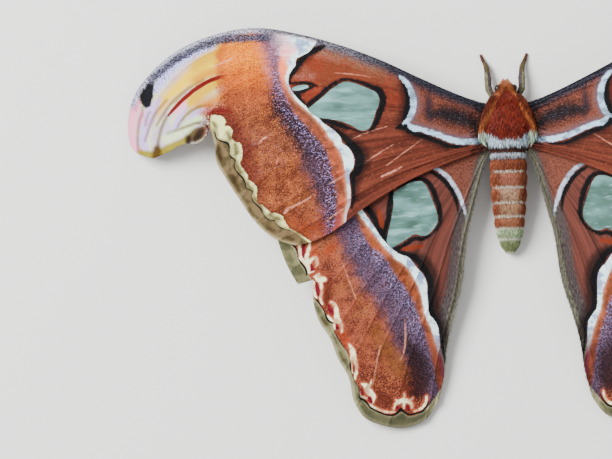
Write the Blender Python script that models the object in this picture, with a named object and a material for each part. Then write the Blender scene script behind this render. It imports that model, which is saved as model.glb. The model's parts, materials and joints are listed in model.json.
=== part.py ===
"""An atlas moth at rest with its wings spread flat, at life size.

The moth faces +Y, and its right side is at +X. Lengths are in millimetres up to the
function that makes a mesh, which turns them into metres. Y = 0 is near the middle of
the thorax until the last step, which puts the origin under the middle of the moth.
"""

import math
import random

import bmesh
import bpy
import numpy as np
from mathutils import Matrix, Vector

MM = 0.001
GAP = 0.3

# Thorax, head and abdomen: distance forward, half width, half height, height of the middle
THORAX = [
    (10.4, 3.1, 3.0, 9.0),
    (9.0, 4.2, 4.1, 9.2),
    (6.5, 5.6, 5.2, 9.4),
    (3.5, 6.7, 6.1, 9.6),
    (0.5, 7.1, 6.5, 9.7),
    (-2.5, 6.5, 6.2, 9.6),
    (-6.0, 5.3, 5.4, 9.3),
]
HEAD = [
    (14.0, 0.6, 0.8, 7.6),
    (13.2, 1.7, 1.9, 7.9),
    (12.0, 2.5, 2.5, 8.4),
    (10.7, 2.7, 2.6, 8.8),
]
ABDOMEN = [
    (-6.3, 5.3, 5.2, 9.2),
    (-12.0, 5.4, 5.3, 8.3),
    (-18.0, 5.2, 5.1, 6.9),
    (-24.0, 4.7, 4.7, 5.0),
    (-29.0, 4.1, 4.1, 3.8),
    (-33.0, 3.1, 3.1, 3.0),
    (-36.0, 0.9, 1.0, 2.4),
]
ABDOMEN_JOINTS = (-6.3, -8.3, -12.2, -16.8, -21.2, -25.2, -28.7, -31.9, -36.0)
SEGMENT_SWELL = 0.06
BODY_SIDES = 22
THORAX_RINGS = 11
HEAD_RINGS = 7

EYE_RADIUS = 1.15
EYE_PLACE = (2.35, 11.9, 8.5)
PALP_SIZE = (0.75, 1.5, 0.85)
PALP_PLACE = (0.85, 13.7, 6.5)
TEGULA_SIZE = (2.3, 6.4, 1.7)
TEGULA_PLACE = (6.2, 2.0, 13.1)
TEGULA_TURN = math.radians(18)

# Locks of fur: how full each is at shares of its length, then the sizes of each tuft
LOCK_FULLNESS = ((0, 0.8), (0.45, 1.0), (0.8, 0.6), (1.0, 0.15))
LOCK_WIDTH = 1.1
LOCK_THICKNESS = 0.6
LOCK_LENGTH = 5.0
TEGULA_LOCKS = 5
HEAD_LOCK_LENGTH = 2.2
HEAD_LOCKS = 5

# Wing outlines of the right side, seen from above: distance from the middle, distance forward
FORE_COSTA = [
    (4.0, 7.0),
    (7.3, 7.8),
    (13, 10),
    (24.5, 15.3),
    (36, 21),
    (47.5, 25.6),
    (59, 29.1),
    (72, 31.4),
    (85, 29.5),
    (94, 26),
    (102, 20),
    (107.5, 13),
    (109.5, 4),
    (108, -2.5),
    (102.5, -5),
]
FORE_NOTCH = (85.6, 3.3)
FORE_LOBE_EDGE = [(102.5, -5), (98, -3.4), (93, -1.2), (89.5, -1.2), (87.2, 0.2), FORE_NOTCH]
FORE_MARGIN = [
    FORE_NOTCH,
    (84.4, -1.6),
    (84.1, -6.3),
    (81.5, -11.5),
    (77.8, -17.6),
    (73.2, -24.5),
    (67.8, -29.4),
    (62, -31.4),
]
NOTCH_VEIN = [(4.3, 2.8), (22, 9.5), (42, 15), (60, 18.3), (72, 17.5), (80, 13.5), (84.5, 8.5), FORE_NOTCH]
FORE_REAR = [(4.8, -5.0), (16.5, -8.8), (28.9, -13.9), (43, -22), (52, -28.2), (57.5, -30.6), (62, -31.4)]
HIND_COSTA = [(4.4, -1.6), (18, -2.2), (32, -7), (46, -15.5), (58, -23.5), (67.2, -29.6)]
HIND_CORNER = (61.6, -43)
HIND_SIDE_EDGE = [(67.2, -29.6), (64.8, -36.8), HIND_CORNER]
HIND_MARGIN = [
    HIND_CORNER,
    (58.4, -49),
    (55.8, -54),
    (53, -58.5),
    (50.9, -64.5),
    (48, -70),
    (46.6, -77.2),
    (43.6, -82),
    (38, -84.5),
    (32, -85.2),
    (26.5, -83.4),
    (22.3, -77.7),
]
WORN_CORNER = (57.2, -41.4)
HIND_MARGIN_WORN = [WORN_CORNER, (57.3, -49), *HIND_MARGIN[2:]]
HIND_INNER = [
    (4.9, -5.6),
    (6.4, -7.9),
    (8.6, -14.8),
    (10.3, -21.4),
    (12.3, -29.2),
    (14.8, -45.4),
    (17.1, -53.1),
    (19.4, -62),
    (20.4, -70),
    (22.3, -77.7),
]

# Height of the wings: first along the span, then how far they sink towards the rear
SPAN_HEIGHT = [
    (0, 11.7),
    (7, 12.0),
    (20, 13.9),
    (40, 16.4),
    (58, 17.3),
    (75, 15.6),
    (88, 11.8),
    (99, 7.0),
    (109.5, 2.2),
]
REAR_SINK = 11.5
REAR_SINK_POWER = 1.3
SINK_START = -5.0
SINK_REACH = 80.0
FRONT_SINK = 0.003
HIND_BELOW_FORE = 1.7
MEMBRANE = 0.56

# Main veins: share of the way from the front edge to the rear edge, share of the way out where each rises
FORE_VEINS = [
    (0.0, 0.0),
    (0.09, 0.0),
    (0.2, 0.0),
    (0.34, 0.58),
    (0.46, 0.62),
    (0.57, 0.6),
    (0.68, 0.1),
    (0.8, 0.25),
    (0.92, 0.0),
]
HIND_VEINS = [
    (0.0, 0.0),
    (0.11, 0.0),
    (0.25, 0.58),
    (0.38, 0.6),
    (0.51, 0.5),
    (0.64, 0.2),
    (0.78, 0.0),
    (0.92, 0.0),
]
VEIN_HALF_WIDTH = 0.55
VEIN_CROWDING = 0.3
VEIN_RIDGE = 0.3
VEIN_FADE = 0.12
NOTCH_SHARE = 0.34
COSTA_LAG = 1.35
CORNER_SHARE = 0.165
SCRAP_REACH = 0.8
ROWS = (0, 0.05, 0.12, 0.21, 0.31, 0.42, 0.53, 0.63, 0.72, 0.8, 0.87, 0.92, 0.955, 0.98, 1.0)

ANTENNA_PATH = [
    (1.2, 12.4, 7.8),
    (2.5, 11.6, 6.2),
    (3.3, 9.8, 5.6),
    (4.8, 7.6, 5.4),
    (7.5, 5.6, 6.1),
    (11, 3.8, 7.4),
    (16, 1.6, 8.8),
    (20.5, -0.5, 9.8),
]
ANTENNA_RADIUS = 0.42
ANTENNA_TIP_RADIUS = 0.33
ANTENNA_RAYS = 15
ANTENNA_RINGS = 20
RAY_LENGTH = 1.9
RAY_RADIUS = 0.29
RAY_STAGGER = 0.012
RAY_TIP_RADIUS = 0.1
RAY_SWEEP = 0.45

# Legs: at each joint from the body to the claws, its place and the radius of the furred leg
LEGS = {
    "front": [
        (2.0, 6.6, 5.6, 1.2),
        (3.1, 9.0, 3.3, 1.0),
        (4.7, 11.8, 3.2, 1.0),
        (4.9, 15, 2.8, 1.05),
        (5.2, 18.2, 1.8, 0.8),
        (6.2, 20.6, 0.7, 0.55),
        (6.7, 22, 0.35, 0.45),
    ],
    "middle": [
        (2.4, 0.5, 5.4, 1.2),
        (4.3, 0.3, 2.9, 1.05),
        (7.5, 0, 4.2, 1.0),
        (11.5, -0.6, 4.8, 1.0),
        (17, -0.6, 2.3, 0.8),
        (21, 0, 0.7, 0.55),
        (23, 0.4, 0.35, 0.45),
    ],
    "hind": [
        (2.4, -3, 5.4, 1.2),
        (4.2, -4, 2.9, 1.05),
        (6.8, -5.8, 4.0, 1.0),
        (10, -7.6, 4.6, 1.0),
        (15.4, -10.8, 2.3, 0.8),
        (19, -12.6, 0.7, 0.55),
        (20.6, -13.6, 0.35, 0.45),
    ],
}
LEG_RINGS = 16

COLOURS = {
    "thorax": (0.29, 0.035, 0.012),
    "head": (0.42, 0.10, 0.035),
    "abdomen": (0.50, 0.13, 0.055),
    "tegula": (0.48, 0.16, 0.025),
    "forewing": (0.40, 0.08, 0.035),
    "hindwing": (0.36, 0.065, 0.03),
    "antenna": (0.25, 0.07, 0.03),
    "leg": (0.24, 0.20, 0.15),
    "eye": (0.012, 0.009, 0.008),
    "palp": (0.55, 0.42, 0.28),
}
ROUGHNESS = {"eye": 0.12, "forewing": 0.6, "hindwing": 0.6}


def smooth_curve(points):
    """Dense points along a smooth curve through the given ones, and the running length at each."""
    points = np.array(points, float)
    steps = np.linalg.norm(np.diff(points, axis=0), axis=1)[:, None]
    slopes = np.diff(points, axis=0) / steps
    tangents = np.empty_like(points)
    tangents[1:-1] = (slopes[:-1] * steps[1:] + slopes[1:] * steps[:-1]) / (steps[:-1] + steps[1:])
    tangents[0] = 1.5 * slopes[0] - 0.5 * tangents[1]
    tangents[-1] = 1.5 * slopes[-1] - 0.5 * tangents[-2]
    share = np.linspace(0, 1, 12, endpoint=False)[:, None]
    pieces = []
    for start, end, leave, arrive, step in zip(points[:-1], points[1:], tangents[:-1], tangents[1:], steps):
        pieces.append(
            start * (2 * share**3 - 3 * share**2 + 1)
            + end * (3 * share**2 - 2 * share**3)
            + step * leave * (share**3 - 2 * share**2 + share)
            + step * arrive * (share**3 - share**2)
        )
    dense = np.vstack([*pieces, points[-1:]])
    length = np.concatenate([[0], np.cumsum(np.linalg.norm(np.diff(dense, axis=0), axis=1))])
    return dense, length


def along(points, lag=1.0):
    """A function from a share of the length to the place there, on a smooth curve through points.

    A lag over 1 sets the places back from the shares, most of all near the middle.
    """
    dense, length = smooth_curve(points)

    def place(share):
        return np.array([np.interp(share**lag * length[-1], length, column) for column in dense.T])

    return place


def profile(points):
    """A function of the first number of each point, which runs smoothly through the other numbers."""
    dense, _ = smooth_curve(points)
    order = np.argsort(dense[:, 0])
    dense = dense[order]

    def value(key):
        return np.array([np.interp(key, dense[:, 0], column) for column in dense.T[1:]])

    return value


span_height = profile(SPAN_HEIGHT)


def wing_height(x, y):
    """Height of the upper wing sheet's middle over the point that is x out and y forward."""
    sink = max(0.0, min(1.1, (SINK_START - y) / SINK_REACH))
    front = max(0.0, y - 8)
    return span_height(x)[0] - REAR_SINK * sink**REAR_SINK_POWER - FRONT_SINK * front**2


def wing_slope_factor(x, y):
    """How much taller than thick the sheet is, measured straight up, where it slopes."""
    step = 0.5
    along_x = (wing_height(x + step, y) - wing_height(x - step, y)) / (2 * step)
    along_y = (wing_height(x, y + step) - wing_height(x, y - step)) / (2 * step)
    return math.sqrt(1 + along_x**2 + along_y**2)


def fade(share):
    share = max(0.0, min(1.0, share))
    return share * share * (3 - 2 * share)


def fore_patches():
    """The forewing in two fields, before and behind the vein that ends at the notch.

    Each field has the shares across the wing where it starts and ends, its front and rear
    lines from the root out, its outer edge, and that edge as worn.
    """
    vein = along(NOTCH_VEIN)
    lobe, margin = along(FORE_LOBE_EDGE), along(FORE_MARGIN)
    return [
        (0.0, NOTCH_SHARE, along(FORE_COSTA, COSTA_LAG), vein, lobe, lobe),
        (NOTCH_SHARE, 1.0, vein, along(FORE_REAR), margin, margin),
    ]


def hind_patches(worn):
    """The hindwing in one field; a worn one has lost a scrap of its edge behind the outer corner."""
    side, margin, worn_margin = along(HIND_SIDE_EDGE), along(HIND_MARGIN), along(HIND_MARGIN_WORN)

    def edge(rest):
        def place(share):
            if share <= CORNER_SHARE:
                return side(share / CORNER_SHARE)
            return rest((share - CORNER_SHARE) / (1 - CORNER_SHARE))

        return place

    outer = edge(margin)
    return [(0.0, 1.0, along(HIND_COSTA), along(HIND_INNER), outer, edge(worn_margin) if worn else outer)]


def wing_plan(patches, across, out):
    """Place on the wing, seen from above: across runs from front edge to rear, out from root to margin."""
    for start, end, front, rear, outer, worn in patches:
        if across <= end:
            break
    local = (across - start) / (end - start)
    root = front(0) * (1 - local) + rear(0) * local
    place = (1 - local) * front(out) + local * rear(out) + (1 - out) * root + out * outer(local)
    front_mean = (1 - out) * front(0) + out * front(1)
    rear_mean = (1 - out) * rear(0) + out * rear(1)
    pull = fade((out - SCRAP_REACH) / (1 - SCRAP_REACH))
    return place - (1 - local) * front_mean - local * rear_mean + pull * (worn(local) - outer(local))


def wing_columns(veins, extra):
    """The lines of points that run out along the wing.

    Each has its share across, its side of the vein, where the vein rises, and the vein's room.
    """
    shares = [share for share, _ in veins] + [1.0]
    columns = []
    for index, (share, start) in enumerate(veins):
        room = VEIN_CROWDING * min(abs(share - other) for other in shares if other != share)
        sides = (0, 1) if index == 0 else (-1, 0, 1)
        columns += [(share, side, start, room) for side in sides]
    columns += [((a + b) / 2, 0, None, 0) for a, b in zip(shares, shares[1:])]
    columns += [(share, 0, None, 0) for share in extra]
    columns.append((1.0, 0, None, 0))
    return sorted(columns, key=lambda column: column[0] + column[1] * 0.001)


def wing(name, patches, veins, extra, lower, side, colour, grow=0.0):
    """One wing as a thin closed sheet with its veins raised. grow makes it thicker, as a cutter."""
    columns = wing_columns(veins, extra)
    top, bottom = [], []
    for out in ROWS:
        chord = np.linalg.norm(wing_plan(patches, 0, out) - wing_plan(patches, 1, out))
        for share, beside, start, room in columns:
            across = share + beside * min(room, VEIN_HALF_WIDTH / chord)
            x, y = wing_plan(patches, across, out)
            middle = wing_height(x, y) - lower
            half = (MEMBRANE / 2 + grow) * wing_slope_factor(x, y)
            ridge = 0.0
            if start is not None and beside == 0:
                ridge = VEIN_RIDGE * fade((out - start) / VEIN_FADE + (start == 0))
            top.append((side * x, y, middle + half + ridge))
            bottom.append((side * x, y, middle - half))
    faces = sheet_faces(len(columns), len(ROWS), len(top))
    if side < 0:
        faces = [face[::-1] for face in faces]
    return mesh_object(name, top + bottom, faces, colour)


def sheet_faces(wide, long, under):
    """Triangles of two like sheets, one above the other, and of the rim that joins them."""
    faces = []
    for row in range(long - 1):
        for column in range(wide - 1):
            a = row * wide + column
            b, c, d = a + 1, a + wide + 1, a + wide
            faces += [(a, b, c), (a, c, d)]
            faces += [(under + a, under + c, under + b), (under + a, under + d, under + c)]
    rim = list(range(wide)) + [row * wide + wide - 1 for row in range(1, long)]
    rim += [(long - 1) * wide + column for column in range(wide - 2, -1, -1)]
    rim += [row * wide for row in range(long - 2, 0, -1)]
    for a, b in zip(rim, rim[1:] + rim[:1]):
        faces += [(a, under + a, under + b), (a, under + b, b)]
    return faces


def mesh_object(name, points, faces, colour):
    mesh = bpy.data.meshes.new(name)
    mesh.from_pydata([Vector(point) * MM for point in points], [], faces)
    mesh.update()
    obj = bpy.data.objects.new(name, mesh)
    parts.objects.link(obj)
    paint(obj, colour)
    return obj


def paint(obj, colour):
    """Gives the object the material of this colour name."""
    material = bpy.data.materials.get(colour)
    if material is None:
        material = bpy.data.materials.new(colour)
        material.use_nodes = True
        shader = material.node_tree.nodes["Principled BSDF"]
        shader.inputs["Base Color"].default_value = (*COLOURS[colour], 1)
        shader.inputs["Roughness"].default_value = ROUGHNESS.get(colour, 0.9)
        shader.inputs["Metallic"].default_value = 0.0
    obj.data.materials.clear()
    obj.data.materials.append(material)


def loft(name, rings, colour):
    """A closed body through rings of as many points each, from front to rear, with a flat cap at each end."""
    sides = len(rings[0])
    points = [point for ring in rings for point in ring]
    faces = []
    for ring in range(len(rings) - 1):
        for side in range(sides):
            a, b = ring * sides + side, ring * sides + (side + 1) % sides
            faces.append((a, a + sides, b + sides, b))
    faces.append(tuple(range(sides)))
    faces.append(tuple(len(points) - 1 - side for side in range(sides)))
    obj = mesh_object(name, points, faces, colour)
    obj.data.shade_smooth()
    return obj


def oval_ring(y, half_width, half_height, middle):
    """Points round a section of the body, a little squarer than an ellipse, none below the floor."""
    ring = []
    for side in range(BODY_SIDES):
        turn = 2 * math.pi * side / BODY_SIDES
        x = half_width * math.copysign(abs(math.sin(turn)) ** 0.9, math.sin(turn))
        z = half_height * math.copysign(abs(math.cos(turn)) ** 0.9, math.cos(turn))
        ring.append((x, y, max(0.0, middle + z)))
    return ring


def body_loft(name, stations, places, colour, swell=None):
    section = profile(stations)
    rings = []
    for y in places:
        half_width, half_height, middle = section(y)
        more = 1 + (swell(y) if swell else 0)
        rings.append(oval_ring(y, half_width * more, half_height * more, middle))
    return loft(name, rings, colour)


def segment_swell(y):
    """Each ring of the abdomen widens towards its rear edge, which overlaps the next."""
    for front, rear in zip(ABDOMEN_JOINTS, ABDOMEN_JOINTS[1:]):
        if rear <= y <= front:
            share = (front - y) / (front - rear)
            return SEGMENT_SWELL * (math.sin(math.pi * min(share, 0.9) ** 1.5) - 0.4)
    return 0.0


def abdomen_places():
    """Four rings to a segment, the last two close together where its edge steps down."""
    places = []
    for front, rear in zip(ABDOMEN_JOINTS, ABDOMEN_JOINTS[1:]):
        places += [front + (rear - front) * share for share in (0, 0.3, 0.65, 0.9)]
    return [*places, ABDOMEN_JOINTS[-1]]


def tube(name, points, radii, rings, sides_setting, colour):
    """A furred limb: a curve with a bevel, its caps welded, made a mesh, flat where it meets the floor."""
    curve = bpy.data.curves.new(name, "CURVE")
    curve.dimensions = "3D"
    curve.bevel_depth = MM
    curve.bevel_resolution = sides_setting
    curve.use_fill_caps = True
    spline = curve.splines.new("POLY")
    spline.points.add(rings - 1)
    place = along([(*point, radius * 3) for point, radius in zip(points, radii)])
    for index, point in enumerate(spline.points):
        x, y, z, triple = place(index / (rings - 1))
        point.co = (x * MM, y * MM, z * MM, 1)
        point.radius = triple / 3
    drawn = bpy.data.objects.new(name + "_line", curve)
    parts.objects.link(drawn)
    bpy.context.view_layer.update()
    mesh = bpy.data.meshes.new_from_object(drawn.evaluated_get(bpy.context.evaluated_depsgraph_get()))
    bpy.data.objects.remove(drawn)
    for vertex in mesh.vertices:
        vertex.co.z = max(0.0, vertex.co.z)
    shape = bmesh.new()
    shape.from_mesh(mesh)
    bmesh.ops.remove_doubles(shape, verts=shape.verts, dist=0.00001)
    bmesh.ops.recalc_face_normals(shape, faces=shape.faces)
    shape.to_mesh(mesh)
    shape.free()
    mesh.shade_smooth()
    obj = bpy.data.objects.new(name, mesh)
    parts.objects.link(obj)
    paint(obj, colour)
    return obj


def ball(name, size, place, turn, colour, segments=20, rings=12):
    """An egg-shaped piece with the given half sizes, turned about the vertical."""
    bpy.ops.mesh.primitive_uv_sphere_add(segments=segments, ring_count=rings, radius=MM)
    obj = bpy.context.active_object
    obj.name = name
    obj.data.name = name
    for collection in list(obj.users_collection):
        collection.objects.unlink(obj)
    parts.objects.link(obj)
    for vertex in obj.data.vertices:
        vertex.co = Vector(part * half for part, half in zip(vertex.co, size))
    obj.rotation_euler.z = turn
    obj.location = Vector(place) * MM
    obj.data.shade_smooth()
    paint(obj, colour)
    return obj


def clearance_of(obj):
    """A copy of the object grown outwards by the gap, kept as a cutter."""
    bpy.context.view_layer.update()
    mesh = bpy.data.meshes.new_from_object(obj.evaluated_get(bpy.context.evaluated_depsgraph_get()))
    mesh.transform(obj.matrix_world)
    shape = bmesh.new()
    shape.from_mesh(mesh)
    shape.normal_update()
    shifts = [vertex.normal * GAP * MM * max(1.0, vertex.calc_shell_factor()) for vertex in shape.verts]
    for vertex, shift in zip(shape.verts, shifts):
        vertex.co += shift
    shape.to_mesh(mesh)
    shape.free()
    return as_cutter(bpy.data.objects.new(obj.name + "_clearance", mesh))


def as_cutter(obj):
    for collection in list(obj.users_collection):
        collection.objects.unlink(obj)
    cutters.objects.link(obj)
    obj.hide_render = True
    obj.display_type = "WIRE"
    return obj


def cut_clear(obj, *others):
    """Cuts the object back from its neighbours' clearances."""
    for other in others:
        cut = obj.modifiers.new("clear of " + other.name, "BOOLEAN")
        cut.operation = "DIFFERENCE"
        cut.object = other
    apply_modifiers(obj)


def apply_modifiers(obj):
    """Applies the object's modifiers and keeps its largest closed piece."""
    bpy.context.view_layer.update()
    mesh = bpy.data.meshes.new_from_object(obj.evaluated_get(bpy.context.evaluated_depsgraph_get()))
    obj.modifiers.clear()
    obj.data = mesh
    keep_largest(mesh)


def keep_largest(mesh):
    shape = bmesh.new()
    shape.from_mesh(mesh)
    bmesh.ops.triangulate(shape, faces=shape.faces)
    bmesh.ops.remove_doubles(shape, verts=shape.verts, dist=0.000002)
    pending = set(shape.verts)
    islands = []
    while pending:
        reached = {pending.pop()}
        front = list(reached)
        while front:
            for edge in front.pop().link_edges:
                for vertex in edge.verts:
                    if vertex in pending:
                        pending.remove(vertex)
                        reached.add(vertex)
                        front.append(vertex)
        islands.append(reached)
    islands.sort(key=len)
    for island in islands[:-1]:
        bmesh.ops.delete(shape, geom=list(island), context="VERTS")
    shape.to_mesh(mesh)
    shape.free()


def feathered_feeler(name, side):
    """A feeler: a bent shaft with a pair of rays on each of its rings, longest past the middle."""
    place = along(ANTENNA_PATH)
    points = [(side * x, y, z) for x, y, z in ANTENNA_PATH]
    shaft_radii = np.linspace(ANTENNA_RADIUS, ANTENNA_TIP_RADIUS, len(points))
    shaft = tube(name, points, shaft_radii, ANTENNA_RINGS, 1, "antenna")
    rays = []
    for index in range(ANTENNA_RAYS):
        length = RAY_LENGTH * math.sin(math.pi * (index + 1.2) / (ANTENNA_RAYS + 1.5)) ** 0.7
        for hand in (-1, 1):
            share = 0.2 + 0.75 * index / (ANTENNA_RAYS - 1) + hand * RAY_STAGGER
            root = Vector(place(share))
            ahead = (Vector(place(share + 0.02)) - root).normalized()
            across = ahead.cross(Vector((0, 0, 1))).normalized()
            lie = (across * hand + ahead * RAY_SWEEP).normalized()
            rays.append(spike(root, root + lie * length, RAY_RADIUS, RAY_TIP_RADIUS, side))
    join(shaft, rays)
    return shaft


def spike(root, tip, radius, tip_radius, side):
    """A four-sided ray that tapers from root to tip, on the side of the body asked for."""
    shape = bmesh.new()
    lie = tip - root
    turn = lie.to_track_quat("Z", "Y").to_matrix().to_4x4()
    place = Matrix.Translation((root + tip) / 2) @ turn
    bmesh.ops.create_cone(
        shape, cap_ends=True, segments=4, radius1=radius, radius2=tip_radius, depth=lie.length, matrix=place
    )
    return branch(shape, side)


def lock(root, lie, length, width, thickness, droop, side):
    """A flat tapered lock of fur that bends down towards its tip."""
    across = lie.cross(Vector((0, 0, 1))).normalized()
    shape = bmesh.new()
    rings = []
    for share, fullness in LOCK_FULLNESS:
        centre = root + lie * (length * share) - Vector((0, 0, droop * share * share))
        wide = across * (width * fullness / 2)
        thick = Vector((0, 0, thickness * fullness / 2))
        corners = (centre + wide, centre - thick, centre - wide, centre + thick)
        rings.append([shape.verts.new(corner) for corner in corners])
    for near, far in zip(rings, rings[1:]):
        for corner in range(4):
            other = (corner + 1) % 4
            shape.faces.new((near[corner], near[other], far[other], far[corner]))
    shape.faces.new(rings[0][::-1])
    shape.faces.new(rings[-1])
    return branch(shape, side)


def branch(shape, side):
    """Turns a small closed shape into a helper object, mirrored for the left side."""
    for vertex in shape.verts:
        vertex.co = Vector((side * vertex.co.x, vertex.co.y, vertex.co.z)) * MM
    bmesh.ops.recalc_face_normals(shape, faces=shape.faces)
    mesh = bpy.data.meshes.new("branch")
    shape.to_mesh(mesh)
    shape.free()
    return bpy.data.objects.new("branch", mesh)


def join(obj, branches):
    """Fuses the branches into the object with one Boolean union."""
    group = bpy.data.collections.new("branches")
    for piece in branches:
        group.objects.link(piece)
    bpy.context.scene.collection.children.link(group)
    union = obj.modifiers.new("union", "BOOLEAN")
    union.operation = "UNION"
    union.operand_type = "COLLECTION"
    union.collection = group
    apply_modifiers(obj)
    for piece in branches:
        bpy.data.objects.remove(piece)
    bpy.data.collections.remove(group)


def tegula_locks(side):
    """Pale tufts that trail back from the end of a shoulder tuft, over the roots of the wings."""
    draw = random.Random(7)
    locks = []
    for index in range(TEGULA_LOCKS):
        share = index / (TEGULA_LOCKS - 1)
        root = Vector((8.0 - 1.6 * share, -1.6 - 0.8 * share, 13.5 + 0.25 * draw.random()))
        lie = Vector((0.12 - 0.2 * share, -1, 0.06 * draw.random())).normalized()
        length = LOCK_LENGTH * draw.uniform(0.8, 1.1)
        locks.append(lock(root, lie, length, LOCK_WIDTH, LOCK_THICKNESS, 0.25, side))
    return locks


def head_locks():
    """The pale tuft that stands forward over the face."""
    draw = random.Random(3)
    locks = []
    for index in range(HEAD_LOCKS):
        spread = 2 * index / (HEAD_LOCKS - 1) - 1
        root = Vector((0.9 * spread, 12.6, 9.0 - 0.4 * abs(spread)))
        lie = Vector((0.35 * spread, 1, -0.12 + 0.1 * draw.random())).normalized()
        locks.append(lock(root, lie, HEAD_LOCK_LENGTH * draw.uniform(0.85, 1), 0.8, LOCK_THICKNESS, 0.5, 1))
    return locks


for old in list(bpy.data.objects):
    bpy.data.objects.remove(old)
parts = bpy.data.collections.new("atlas_moth")
cutters = bpy.data.collections.new("cutters")
bpy.context.scene.collection.children.link(parts)
bpy.context.scene.collection.children.link(cutters)

thorax_places = np.linspace(THORAX[0][0], THORAX[-1][0], THORAX_RINGS)
thorax = body_loft("thorax", THORAX, thorax_places, "thorax")
head = body_loft("head", HEAD, np.linspace(HEAD[0][0], HEAD[-1][0], HEAD_RINGS), "head")
join(head, head_locks())
abdomen = body_loft("abdomen", ABDOMEN, abdomen_places(), "abdomen", segment_swell)
thorax_room = clearance_of(thorax)
head_room = clearance_of(head)

fore = fore_patches()
for side, word in ((1, "right"), (-1, "left")):
    forewing = wing("forewing_" + word, fore, FORE_VEINS, (), 0.0, side, "forewing")
    cut_clear(forewing, thorax_room)
    hind = hind_patches(worn=side < 0)
    corner = (CORNER_SHARE, CORNER_SHARE + 0.01)
    hindwing = wing("hindwing_" + word, hind, HIND_VEINS, corner, HIND_BELOW_FORE, side, "hindwing")
    cut_clear(hindwing, thorax_room)

    x, y, z = TEGULA_PLACE
    tegula = ball("tegula_" + word, TEGULA_SIZE, (side * x, y, z), side * TEGULA_TURN, "tegula", 16, 10)
    wing_room = as_cutter(wing("wing_room_" + word, fore, FORE_VEINS, (), 0.0, side, "forewing", GAP))
    join(tegula, tegula_locks(side))
    cut_clear(tegula, thorax_room, wing_room)

    x, y, z = EYE_PLACE
    eye = ball("eye_" + word, (EYE_RADIUS,) * 3, (side * x, y, z), 0, "eye")
    x, y, z = PALP_PLACE
    palp = ball("palp_" + word, PALP_SIZE, (side * x, y, z), 0, "palp", 12, 8)
    feeler = feathered_feeler("antenna_" + word, side)
    for piece in (eye, palp, feeler):
        cut_clear(piece, head_room)

    for pair, joints in LEGS.items():
        places = [(side * x, y, z) for x, y, z, _ in joints]
        radii = [radius for *_, radius in joints]
        leg = tube("leg_" + pair + "_" + word, places, radii, LEG_RINGS, 2, "leg")
        cut_clear(leg, thorax_room)

bpy.context.view_layer.update()
corners = np.array([obj.matrix_world @ Vector(corner) for obj in parts.objects for corner in obj.bound_box])
middle = (corners.min(axis=0) + corners.max(axis=0)) / 2
stand = bpy.data.objects.new("moth", None)
parts.objects.link(stand)
stand.location.y = -middle[1]
for obj in parts.objects:
    if obj is not stand:
        obj.parent = stand
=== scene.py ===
"""The look of an atlas moth at rest, seen from straight above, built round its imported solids.

Lengths are in millimetres up to the calls that make meshes, which turn them into metres. The
moth faces +Y. Until then Y = 0 is near the middle of the thorax, and "out" is the distance from
the body's middle on either side.
"""

import json
import math

import bpy
import numpy as np
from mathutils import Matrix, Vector

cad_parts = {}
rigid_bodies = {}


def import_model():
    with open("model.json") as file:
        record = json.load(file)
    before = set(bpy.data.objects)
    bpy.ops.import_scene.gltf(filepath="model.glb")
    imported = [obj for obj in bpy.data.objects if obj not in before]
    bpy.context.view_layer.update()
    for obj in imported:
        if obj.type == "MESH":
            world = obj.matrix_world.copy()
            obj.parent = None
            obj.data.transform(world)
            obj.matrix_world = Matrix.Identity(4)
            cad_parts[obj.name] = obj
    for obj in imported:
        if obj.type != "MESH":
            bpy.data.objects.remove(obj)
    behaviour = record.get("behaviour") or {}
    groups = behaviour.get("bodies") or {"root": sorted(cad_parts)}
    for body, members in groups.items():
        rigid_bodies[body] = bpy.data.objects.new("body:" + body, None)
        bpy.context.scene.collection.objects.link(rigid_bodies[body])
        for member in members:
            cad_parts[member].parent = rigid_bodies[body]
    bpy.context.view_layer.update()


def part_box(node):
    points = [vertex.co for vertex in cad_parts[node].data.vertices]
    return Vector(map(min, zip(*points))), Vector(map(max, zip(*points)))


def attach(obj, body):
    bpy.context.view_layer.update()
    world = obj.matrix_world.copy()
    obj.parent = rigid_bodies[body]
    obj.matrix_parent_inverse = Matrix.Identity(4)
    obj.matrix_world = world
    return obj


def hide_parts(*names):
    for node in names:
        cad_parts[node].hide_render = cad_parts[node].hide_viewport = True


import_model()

# The studio: a pale floor, a wide soft light from the upper left, and a camera straight above the
# middle of the photograph's view, turned to the lean of the body in it.
MM = 0.001
PIXEL = 0.29
PHOTO_MIDDLE = (306, 229.5)
PHOTO_WIDTH = 612
BODY_PIXEL = (506, 130)
BODY_LEAN = 0.0325
LENS = 300
SENSOR = 36
THORAX_REAR = -6.0
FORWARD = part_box("thorax")[0].y / MM - THORAX_REAR
FLOOR_SIZE = 3
FLOOR_COLOUR = (0.78, 0.78, 0.76)
FLOOR_ROUGHNESS = 0.9
KEY_PLACE = (-0.75, 0.45, 0.95)
KEY_SIZE = 0.7
KEY_POWER = 45
SKY = 0.82


def from_photo(places):
    """Turns pixels on the left wings into distances out from the body's middle and forward."""
    across, down = (np.array(places, float)[:, :2] - BODY_PIXEL).T
    upright = math.hypot(1, BODY_LEAN)
    out = -PIXEL * (across - BODY_LEAN * down) / upright
    forward = -PIXEL * (down + BODY_LEAN * across) / upright
    return np.column_stack([out, forward, *(PIXEL * np.array(places, float)[:, 2:]).T])


def placed(name, data):
    """An object in the scene, of a mesh, a light or a camera."""
    obj = bpy.data.objects.new(name, data)
    bpy.context.scene.collection.objects.link(obj)
    return obj


bpy.ops.mesh.primitive_plane_add(size=FLOOR_SIZE)
floor = bpy.context.active_object
floor.name = "floor"
floor_finish = bpy.data.materials.new("floor_finish")
floor_finish.use_nodes = True
floor_shader = floor_finish.node_tree.nodes["Principled BSDF"]
floor_shader.inputs["Base Color"].default_value = (*FLOOR_COLOUR, 1)
floor_shader.inputs["Roughness"].default_value = FLOOR_ROUGHNESS
floor.data.materials.append(floor_finish)

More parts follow.
